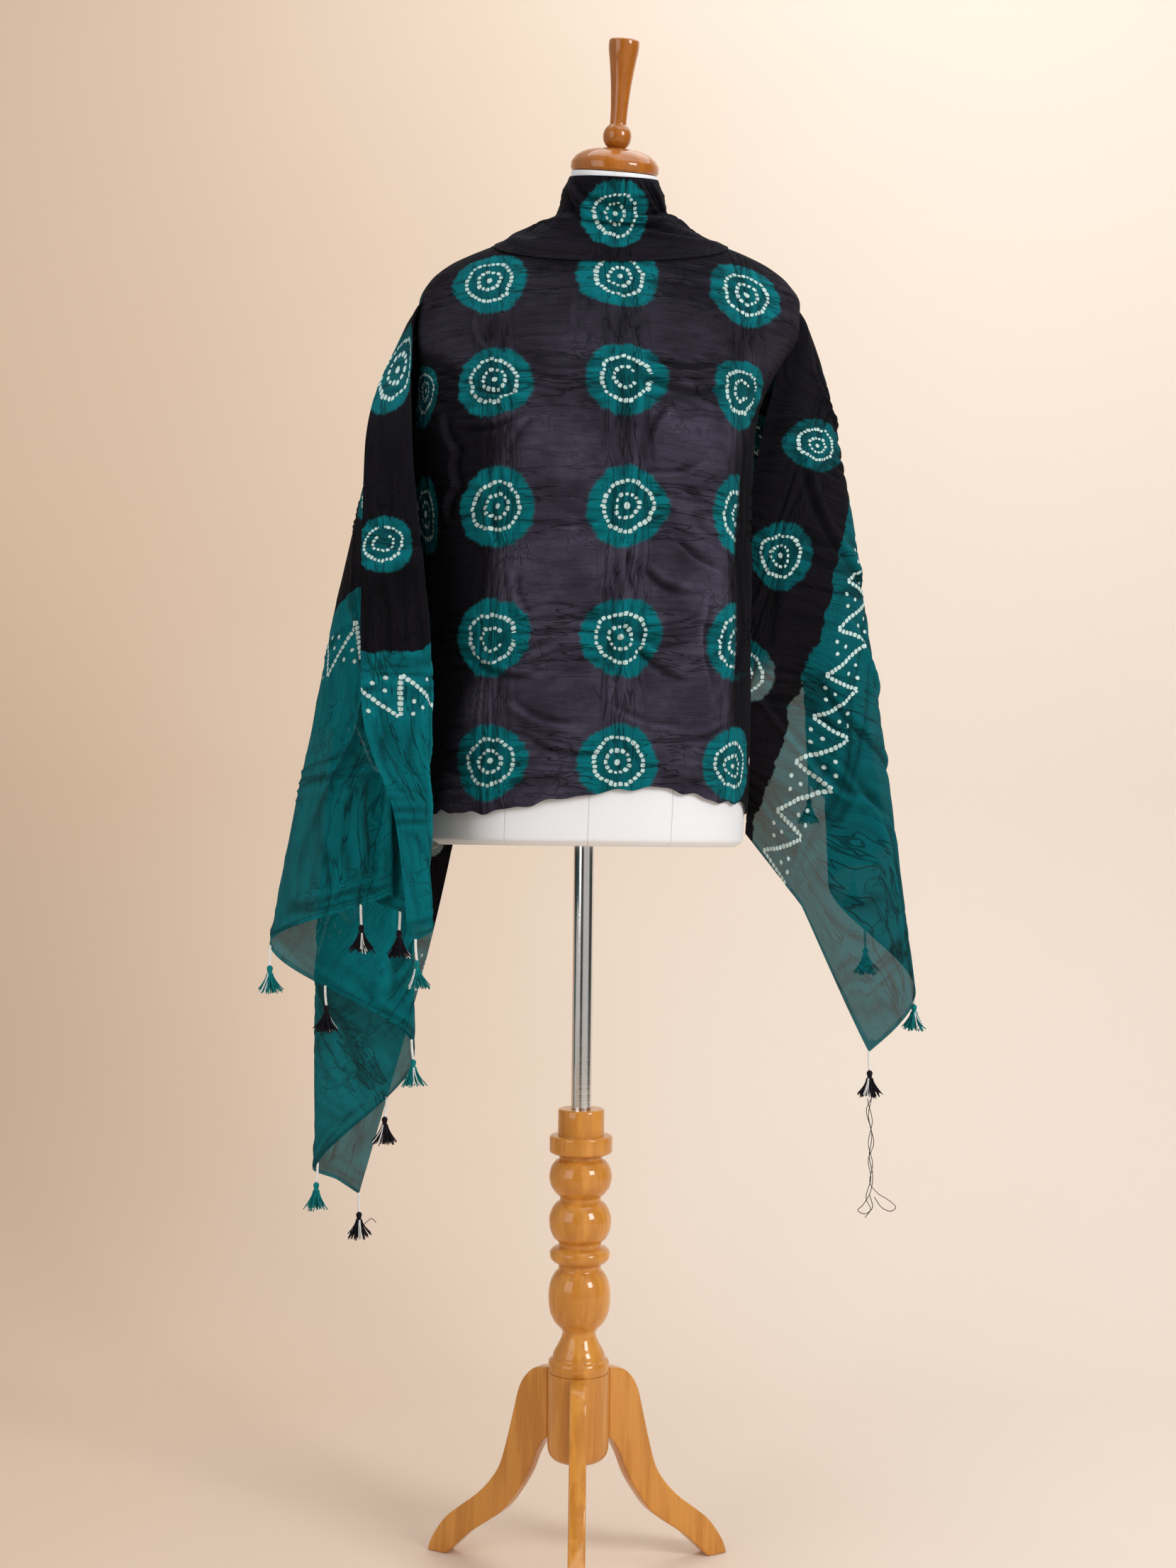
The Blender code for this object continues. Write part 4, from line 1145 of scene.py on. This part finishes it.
def cloth_sheet(name, across, rows, shape, material, node):
    """A grid bent to the cloth's shape. shape(u, v) gives places, flat coordinates and shades."""
    deselect()
    bpy.ops.mesh.primitive_grid_add(x_subdivisions=across, y_subdivisions=rows, size=1.0)
    cloth = bpy.context.object
    plan = corners(cloth)
    places, flat, shades = shape(plan[:, 0] + 0.5, plan[:, 1] + 0.5)
    move_corners(cloth, places + np.array(AXIS))
    cloth.data.uv_layers[0].name = "cloth"
    lay_flat(cloth, cloth.data.uv_layers[0], flat)
    for label, values in shades.items():
        shade = cloth.data.attributes.new(label, "FLOAT", "POINT")
        shade.data.foreach_set("value", np.asarray(values, np.float32))
    bpy.ops.object.shade_smooth()
    return finish_piece(cloth, name, node, material)


def crease_relief(spots, rows):
    """Height of soft creases at places in a plane: each is a ridge beside its trough."""
    total = np.zeros(len(spots))
    for x1, y1, x2, y2, width, depth in rows:
        run = np.array([x2 - x1, y2 - y1])
        length = np.linalg.norm(run)
        away = spots - (x1, y1)
        along = away @ run / length**2
        bow = 0.10 * length * np.sin(math.pi * np.clip(along, 0, 1))
        across = (away @ np.array([-run[1], run[0]]) / length + bow) / width
        ends = ease(-0.20, 0.25, along) * (1 - ease(0.75, 1.20, along))
        total += depth * ends * (np.exp(-across**2) - 0.6 * np.exp(-((across - 1.6) ** 2)))
    return total


def crinkle(flat, seed):
    """Height of the fine uneven crinkles that tying leaves in the cloth, from 0 to 1."""
    column = np.abs((flat[:, 0] / PITCH + 0.5) % 1 - 0.5) * PITCH
    row = np.abs(((flat[:, 1] - FIRST_ROW) / PITCH + 0.5) % 1 - 0.5) * PITCH
    upright_share = 1 - ease(0.010, 0.030, column)
    level_share = 0.35 + 0.65 * (1 - ease(0.014, 0.048, row))
    found = np.empty((len(flat), 3))
    for k, (s, t) in enumerate(flat):
        bend = noise.noise((s * 13, t * 13, seed)) * 0.012
        found[k] = (
            noise.noise((s * 8, t * 6, seed + 5)),
            1 - abs(noise.noise((s * 13, (t + bend) * 74, seed + 9))) * 2.4,
            1 - abs(noise.noise(((s + bend) * 92, t * 11, seed + 13))) * 2.4,
        )
    broad, level, upright = found.T
    level = np.clip(level, 0, 1) ** 2 * (1 - upright_share) * level_share
    upright = np.clip(upright, 0, 1) ** 2 * upright_share
    return broad, (level + upright) * (0.35 + 0.65 * np.clip(0.5 + broad, 0, 1))


def raised(places, across, rows, relief):
    """Places of a grid, moved out along its normals."""
    grid = places.reshape(rows + 1, across + 1, 3)
    normal = np.cross(np.gradient(grid, axis=1), np.gradient(grid, axis=0))
    normal /= np.linalg.norm(normal, axis=2, keepdims=True) + 1e-12
    return places + normal.reshape(-1, 3) * relief[:, None]


# Depths of the broad swell and the fine crinkles, and how much deeper the creases are
# than in their tables.
BROAD, FINE = 0.0018, 0.0026
FRONT_DEEPER, FALL_DEEPER = 1.8, 2.0
# Painted shade of level cloth, how much painted shade a crinkle adds, and the height of a full ridge.
LEVEL_SHADE, FINE_SHADE, CREASE_SHADE = 0.58, 1.2, 0.0034


def fold_shade(fine, creases):
    """Painted shade of the folds: from 0 in a trough, painted darker, to 1 on a ridge, painted lighter."""
    return np.clip(LEVEL_SHADE - (fine - fine.mean()) * FINE_SHADE + creases / CREASE_SHADE, 0, 1)


FRONT_ACROSS, FRONT_UP = 200, 280


def front_stretch(material):
    def shape(u, v):
        places, angle, height = front_places(u, v)
        along, up = lengths(places, FRONT_ACROSS, FRONT_UP)
        level = height.reshape(along.shape)
        centre = FRONT_ACROSS // 2
        middle = along[:, centre][:, None]
        rows_up = np.interp(ROW_HEIGHTS, level[:, centre], up[:, centre])
        rows_up[0] = 2 * rows_up[1] - rows_up[2]
        rows_up = np.append(rows_up, 2 * rows_up[-1] - rows_up[-2])
        base = np.array([np.interp(ROW_HEIGHTS[1], *column) for column in zip(level.T, up.T)])
        rows = FIRST_ROW + PITCH * np.arange(-1, len(rows_up) - 1)
        t = np.interp(up - base[None, :], rows_up - rows_up[1], rows)
        s = ((along - middle - CHEST_MIDDLE) * CHEST_STRETCH).ravel()
        s += from_table(CHEST_SHIFT, height)[:, 0]
        gathered = ease(0.80, 1.25, -angle) * ease(1.00, 1.10, height) * (1 - ease(1.27, 1.33, height))
        s -= CHEST_GATHER * gathered
        flat = np.column_stack([s, t.ravel()])
        x = places[:, 0]
        # Painted light over the form between the limits, from the white form behind the sheer cloth, and
        # painted shade beyond them at the sides.
        left, right, most = from_table(CHEST_LIT, height).T
        lit = most * ease(-0.014, 0.014, x - left) * (1 - ease(-0.010, 0.008, x - right))
        # Painted shade: right of the lit part, from the waist up, the cloth is plain dark cloth with no
        # medallions, standing in for the shade beside the right fall.
        plain = ease(0.004, 0.008, x - right) * ease(0.93, 0.98, height)
        broad, fine = crinkle(flat, 1.0)
        seen = places[:, [0, 2]]
        creases = crease_relief(seen, FRONT_CREASES + CURLED_EDGE)
        relief = broad * BROAD - fine * FINE + creases * FRONT_DEEPER
        under_collar = 0.85 * ease(1.375, 1.405, height)
        under_falls = ease(1.0, 1.3, np.abs(angle)) * ease(1.22, 1.32, height)
        calm = (1 - under_collar) * (1 - under_falls)
        shades = {"lit": lit, "fold": fold_shade(fine, creases), "plain": plain, "solid": 1 + 0 * u}
        return raised(places, FRONT_ACROSS, FRONT_UP, relief * calm), flat, shades

    piece = cloth_sheet("front_cloth", FRONT_ACROSS, FRONT_UP, shape, material, "front_stretch")
    return piece


COLLAR_ROUND, COLLAR_UP = 300, 90
COLLAR_MEDALLION = 0.003
COLLAR_SCALE = 1.12


def collar(material):
    def shape(u, v):
        parted = COLLAR_PARTED + (COLLAR_PARTED_TOP - COLLAR_PARTED) * v
        angle = (math.pi - parted) * (2 * u - 1)
        front = COLLAR_FRONT + COLLAR_FRONT_RISE * np.sin(angle) ** 2
        back = COLLAR_BACK - COLLAR_BACK_DROP * np.cos(angle) ** 2
        low = np.where(np.abs(angle) < math.pi / 2, front, back)
        high = COLLAR_TOP + 0.0015 * np.sin(angle)
        height = low + (high - low) * v
        blend = ease(NECK_FROM, NECK_TO, height)[:, None]
        clear = from_table(COLLAR_RISE, v)[:, 0] + WALL / 2
        on_cloth = cloth_points(angle, np.minimum(height, CLOTH_STOPS), clear)
        on_neck = form_points(angle, height)
        outward = on_neck - form_middle(height)
        on_neck = on_neck + outward / np.linalg.norm(outward, axis=1)[:, None] * clear[:, None]
        places = on_cloth * (1 - blend) + on_neck * blend
        along, up = lengths(places, COLLAR_ROUND, COLLAR_UP)
        s = (along - along[:, COLLAR_ROUND // 2][:, None] - COLLAR_MEDALLION) * COLLAR_SCALE
        row = up[:, COLLAR_ROUND // 2][:, None]
        t = FIRST_ROW + 5 * PITCH + (row - row[int(COLLAR_UP * 0.58)]) * COLLAR_SCALE
        flat = np.column_stack([s.ravel(), (t + 0 * along).ravel()])
        broad, fine = crinkle(flat, 7.0)
        scale = (NECK_RADIUS, 1.0, NECK_RADIUS, 1.0, 1.0, 1.0)
        spots = np.column_stack([angle * NECK_RADIUS, height])
        folds = crease_relief(spots, np.array(COLLAR_CREASES) * scale)
        edges = ease(0.0, 0.14, v) * (1 - ease(0.93, 1.0, v))
        relief = (np.abs(broad) * BROAD * 0.5 - fine * FINE * 0.5 + folds) * edges
        # The collar gets a little painted light through its lit value.
        shades = {
            "lit": 0.07 + 0 * u, "fold": fold_shade(fine, folds), "plain": ease(0.55, 0.70, np.abs(angle)),
            "solid": 1 + 0 * u,
        }
        return raised(places, COLLAR_ROUND, COLLAR_UP, relief), flat, shades

    piece = cloth_sheet("collar_cloth", COLLAR_ROUND, COLLAR_UP, shape, material, "neck_wrap")
    return piece


def fold_lines(rows):
    """Each fold as six points, from over the shoulder to the hem."""
    angle, height, lift = np.array([shoulder for shoulder, *_ in rows]).T
    clear = WALL + REST + WALL / 2
    crown = cloth_points(
        np.radians(angle), np.minimum(height + CROWN_RISE, CROWN_HIGHEST), WALL + lift * CROWN_LIFT,
    )
    top = cloth_points(np.radians(angle), height, clear + lift)
    below = [np.array([levels[k] for _, *levels in rows]) for k in range(4)]
    return np.stack([crown, top] + below)


FALL_LEVELS = (-CROWN_STEP, 0.0, 0.25, 0.5, 0.75, 1.0)


def fall_places(lines, fold, down):
    """Places at fold numbers and shares of the way down to the hem."""
    across = np.arange(lines.shape[1])
    levels = []
    for level in lines:
        rounded = smooth(across, level, fold, rounded=True)
        plain = smooth(across, level, fold)
        levels.append(np.column_stack([rounded[:, :2], plain[:, 2]]))
    straight = np.interp(fold, across, lines[-1][:, 2])
    levels[-1][:, 2] += (straight - levels[-1][:, 2]) * HEM_STRAIGHT
    return smooth(FALL_LEVELS, np.stack(levels), down)


FALL_ACROSS, FALL_UP = 208, 290


def fall(name, node, rows, cloth_rows, creases, material, pattern, sheer):
    """A fall's cloth. It turns sheer between two shares of its way down."""
    end, way = pattern["end_at"], pattern["way"]
    lines = fold_lines(rows)
    table = np.asarray(cloth_rows, float).reshape(len(rows), 5, 2).transpose(1, 0, 2)
    crown = table[0] + (CROWN_CLOTH, 0.0)
    table = np.concatenate([crown[None], table])
    across = np.arange(len(rows))

    def shape(u, v):
        fold = u * (len(rows) - 1)
        down = 1 - v * (1 + CROWN_STEP)
        places = fall_places(lines, fold, down)
        levels = np.stack([smooth(across, level, fold) for level in table])
        from_end, t = smooth(FALL_LEVELS, levels, down).T
        flat = np.column_stack([end - way * from_end, t])
        broad, fine = crinkle(flat, end)
        soft = crease_relief(np.column_stack([from_end, t]), creases)
        relief = broad * BROAD - fine * FINE + soft * FALL_DEEPER
        calm = ease(-0.02, 0.14, down)
        shades = {
            "lit": 0 * u, "fold": fold_shade(fine, soft), "plain": 1 - ease(-0.06, 0.02, down),
            "solid": 1 - ease(*sheer, down),
        }
        return raised(places, FALL_ACROSS, FALL_UP, relief * calm), flat, shades

    piece = cloth_sheet(name, FALL_ACROSS, FALL_UP, shape, material, node)
    return piece


def bevelled_lines(name, strands, radius, resolution=1):
    """Threads along lists of points, as one mesh."""
    curve = bpy.data.curves.new(name, "CURVE")
    curve.dimensions = "3D"
    curve.bevel_depth = radius
    curve.bevel_resolution = resolution
    curve.use_fill_caps = True
    for points in strands:
        spline = curve.splines.new("POLY")
        spline.points.add(len(points) - 1)
        for spot, place in zip(spline.points, points):
            spot.co = (*place, 1.0)
    thread = bpy.data.objects.new(name, curve)
    bpy.context.scene.collection.objects.link(thread)
    deselect()
    thread.select_set(True)
    bpy.context.view_layer.objects.active = thread
    bpy.ops.object.convert(target="MESH")
    bpy.ops.object.shade_smooth()
    return bpy.context.object


def join(parts):
    deselect()
    for part in parts:
        part.select_set(True)
    bpy.context.view_layer.objects.active = parts[0]
    bpy.ops.object.join()
    return bpy.context.object


def tassel(name, node, at, number, dyed, white, strays):
    """Twisted cord, bound head and a skirt of strands with some white ones."""
    draw = np.random.default_rng(number)
    sway = draw.uniform(-0.0022, 0.0022, 2)
    steps = np.linspace(0.0, 1.0, 40)
    cord = []
    for turn in (0.0, math.pi):
        swing = turn + steps * 2 * math.pi * CORD_TURNS
        cord.append(np.column_stack([
            CORD_TWIST * np.cos(swing) + sway[0] * steps**2,
            CORD_TWIST * np.sin(swing) + sway[1] * steps**2,
            CORD_ROOT - CORD_LONG * steps,
        ]))
    cords = bevelled_lines(name + "_cord", cord, CORD_THREAD)
    cords.data.materials.append(white)
    depths, radii = np.asarray(HEAD_PROFILE, float).T
    head = drawn_on(HEAD_TOP - depths, radii, HEAD_SIDES)
    head.location.xy = sway
    bpy.ops.object.shade_smooth()
    settle(head)
    head.data.materials.append(dyed)
    start = HEAD_TOP - depths[-1] + 0.002
    skirts = {"dyed": [], "white": []}
    for k in range(SKIRT_STRANDS):
        turn = k * GOLDEN_TURN
        outness = math.sqrt((k + 0.5) / SKIRT_STRANDS)
        root = SKIRT_ROOT * outness
        spread = SKIRT_SPREAD * outness * draw.uniform(0.75, 1.15)
        long = SKIRT_LONG * draw.uniform(0.72, 1.0)
        lean = draw.uniform(-0.3, 0.3)
        points = []
        for step in np.linspace(0.0, 1.0, 6):
            out = root + spread * step ** 1.5
            twist = turn + lean * step
            points.append((
                sway[0] + out * math.cos(twist), sway[1] + out * math.sin(twist), start - long * step,
            ))
        off_white = (turn - WHITE_FACES[number % 3] + math.pi) % (2 * math.pi) - math.pi
        skirts["white" if abs(off_white) < WHITE_HALF else "dyed"].append(points)
    parts = [cords, head]
    for path in strays:
        route = np.asarray(path, float)
        steps = np.linspace(0, len(route) - 1, 8 * len(route))
        line = smooth(np.arange(len(route)), route, steps, rounded=True) + (sway[0], sway[1], start)
        stray = bevelled_lines(name + "_stray", [line], STRAY_RADIUS)
        stray.data.materials.append(dyed)
        parts.append(stray)
    for kind, material in (("dyed", dyed), ("white", white)):
        strands = bevelled_lines(name + "_" + kind, skirts[kind], STRAND_RADIUS, 0)
        strands.data.materials.append(material)
        parts.append(strands)
    made = join(parts)
    made.data.transform(Matrix.Translation(Vector(at) + AXIS))
    return finish_piece(made, name, node)


def tassels(side, rows, table, threads, white):
    lines = fold_lines(rows)
    for number, (fold, colour) in enumerate(table, start=1):
        at = fall_places(lines, np.array([fold]), np.array([1.0]))[0]
        strays = LOOSE_THREADS.get((side, number), ())
        seed = number + (20 if side == "right" else 0)
        tassel(f"{side}_tassel_{number}", f"tassel_{side}_{number}", at, seed,
               threads[colour], white, strays)


SWEEP_NEAR = -3.4
SWEEP_BACK = 1.55
SWEEP_CURVE = 0.9
SWEEP_HIGH = 3.4
SWEEP_WIDE = 7.0
SWEEP_STEPS = 24


def sweep():
    """A pale floor that curves up into the backdrop."""
    deselect()
    bpy.ops.mesh.primitive_plane_add(size=1.0)
    floor = bpy.context.object
    far, wide = SWEEP_BACK - SWEEP_CURVE, SWEEP_WIDE / 2
    move_corners(floor, [(x, y, 0.0) for y in (SWEEP_NEAR, far) for x in (-wide, wide)])
    mode("EDIT")
    bpy.ops.mesh.select_mode(type="EDGE")
    bpy.ops.mesh.select_all(action="DESELECT")
    mode("OBJECT")
    for edge in floor.data.edges:
        ends = [floor.data.vertices[k].co.y for k in edge.vertices]
        edge.select = min(ends) > 0
    mode("EDIT")
    last = Vector((0.0, 0.0))
    for k in range(1, SWEEP_STEPS + 1):
        turn = math.pi / 2 * k / SWEEP_STEPS
        here = Vector((math.sin(turn), 1 - math.cos(turn))) * SWEEP_CURVE
        bpy.ops.mesh.extrude_region_move(
            TRANSFORM_OT_translate={"value": (0.0, here.x - last.x, here.y - last.y)})
        last = here
    bpy.ops.mesh.extrude_region_move(TRANSFORM_OT_translate={"value": (0.0, 0.0, SWEEP_HIGH - SWEEP_CURVE)})
    mode("OBJECT")
    bpy.ops.object.shade_smooth()
    floor.name = "sweep"
    floor.data.materials.append(sweep_material())


def area_light(name, place, aim, size, power, colour):
    data = bpy.data.lights.new(name, "AREA")
    data.shape = "RECTANGLE"
    data.size, data.size_y = size
    data.energy = power
    data.color = colour
    light = bpy.data.objects.new(name, data)
    light.location = place
    light.rotation_euler = (Vector(aim) - Vector(place)).to_track_quat("-Z", "Y").to_euler()
    bpy.context.scene.collection.objects.link(light)


# Dark stretches of the room: direction from the front, half width, in radians.
ROOM_DARK = ((-0.25, 0.30), (1.55, 0.50))


def studio():
    camera = bpy.data.objects.new("camera", bpy.data.cameras.new("camera"))
    bpy.context.scene.collection.objects.link(camera)
    camera.data.lens = FOCAL / PHOTO_HIGH * camera.data.sensor_width
    turn = Matrix.Rotation(math.pi / 2 + CAMERA_RISE, 4, "X") @ Matrix.Rotation(CAMERA_ROLL, 4, "Z")
    camera.matrix_world = Matrix.Translation(AXIS + CAMERA_AT) @ turn
    bpy.context.scene.camera = camera
    area_light("key", (2.3, -2.2, 2.1), (0.0, 0.0, 1.0), (1.1, 1.3), 68, (1.0, 1.0, 1.0))
    area_light("fill", (-2.2, -2.2, 1.7), (0.0, 0.0, 1.0), (1.8, 2.2), 24, (0.98, 0.99, 1.0))
    area_light("top", (0.5, 0.2, 3.1), (0.2, 0.5, 0.0), (2.4, 2.4), 31, (1.0, 1.0, 1.0))
    world = bpy.data.worlds.new("studio")
    world.use_nodes = True
    room = Shader(world.node_tree)
    x, y, _ = room.parts(room.give(room.node("TexCoord"), "Generated"))
    turn = room.math("ARCTAN2", x, y * -1.0)
    dark = room.most(*(room.ramp(abs(turn - at), half, half * 0.6) for at, half in ROOM_DARK))
    seen = room.give(room.node("LightPath"), "Is Camera Ray")
    light = room.mix(dark * (1.0 - seen), (1.0, 0.99, 0.98, 1.0), (0.10, 0.10, 0.10, 1.0))
    background = world.node_tree.nodes["Background"]
    room.feed(background.inputs["Color"], light)
    background.inputs["Strength"].default_value = 0.50
    bpy.context.scene.world = world
    bpy.context.scene.view_settings.view_transform = "Standard"


# Colours of wood, pale and deep, and the two of each uneven thread.
HONEY = (0.66, 0.285, 0.048, 1.0), (0.43, 0.150, 0.014, 1.0)
AMBER = (0.42, 0.135, 0.014, 1.0), (0.26, 0.074, 0.006, 1.0)
DARK_THREAD = (0.0045, 0.0035, 0.006, 1.0), (0.012, 0.010, 0.018, 1.0)
TEAL_THREAD = (0.0, 0.14, 0.15, 1.0), (0.001, 0.21, 0.21, 1.0)
WHITE_CORD = (0.72, 0.72, 0.70, 1.0), (0.86, 0.86, 0.84, 1.0)
# Where each end lies along the stole and which way it points, and how far in from it
# its border and its zigzag lie.
RIGHT_PATTERN = {"end_at": RIGHT_END, "way": 1.0, "border_at": 0.262, "zigzag_at": 0.222}
LEFT_PATTERN = {"end_at": LEFT_END, "way": -1.0, "border_at": 0.300, "zigzag_at": 0.250}


def build():
    sweep()
    studio()
    grain = grain_group()
    wood = wood_material("honey wood", grain, *HONEY, 0.0)
    dark_wood = wood_material("amber wood", grain, *AMBER, 3.0)
    turned("column", COLUMN_PROFILE, wood)
    turned("hub", HUB_PROFILE, wood)
    turned("pole", POLE_PROFILE, chrome_material(), fine=8)
    tilt = Matrix.Rotation(CAP_SIDE_TILT, 4, "Y") @ Matrix.Rotation(NECK_TILT, 4, "X")
    tilted = Matrix.Translation(CAP_AT) @ tilt
    turned("neck_cap", CAP_PROFILE, dark_wood, tilted, fine=5)
    turned("finial", FINIAL_PROFILE, dark_wood, tilted, fine=5)
    legs(wood)
    dress_form(form_material())
    dye = dye_group(medallion_group(dot_ring_group()), zigzag_group())
    chest_cloth = cloth_material("dyed cloth, middle", dye, **RIGHT_PATTERN, size=1.0, depth=0.0)
    right_cloth = cloth_material("dyed cloth, right", dye, **RIGHT_PATTERN, size=0.86, depth=0.85)
    left_cloth = cloth_material("dyed cloth, left", dye, **LEFT_PATTERN, size=0.66, depth=0.10)
    front_stretch(chest_cloth)
    collar(chest_cloth)
    fall(
        "left_cloth", "left_fall", LEFT_FOLDS, LEFT_CLOTH, LEFT_CREASES, left_cloth, LEFT_PATTERN,
        sheer=(0.52, 0.76),
    )
    fall(
        "right_cloth", "right_fall", RIGHT_FOLDS, RIGHT_CLOTH, RIGHT_CREASES, right_cloth, RIGHT_PATTERN,
        sheer=(0.52, 0.86),
    )
    threads = {
        "dark": thread_material("dark thread", *DARK_THREAD, 0.8),
        "teal": thread_material("teal thread", *TEAL_THREAD, 0.7),
    }
    white = thread_material("white cord", *WHITE_CORD, 0.6)
    tassels("left", LEFT_FOLDS, LEFT_TASSELS, threads, white)
    tassels("right", RIGHT_FOLDS, RIGHT_TASSELS, threads, white)


build()
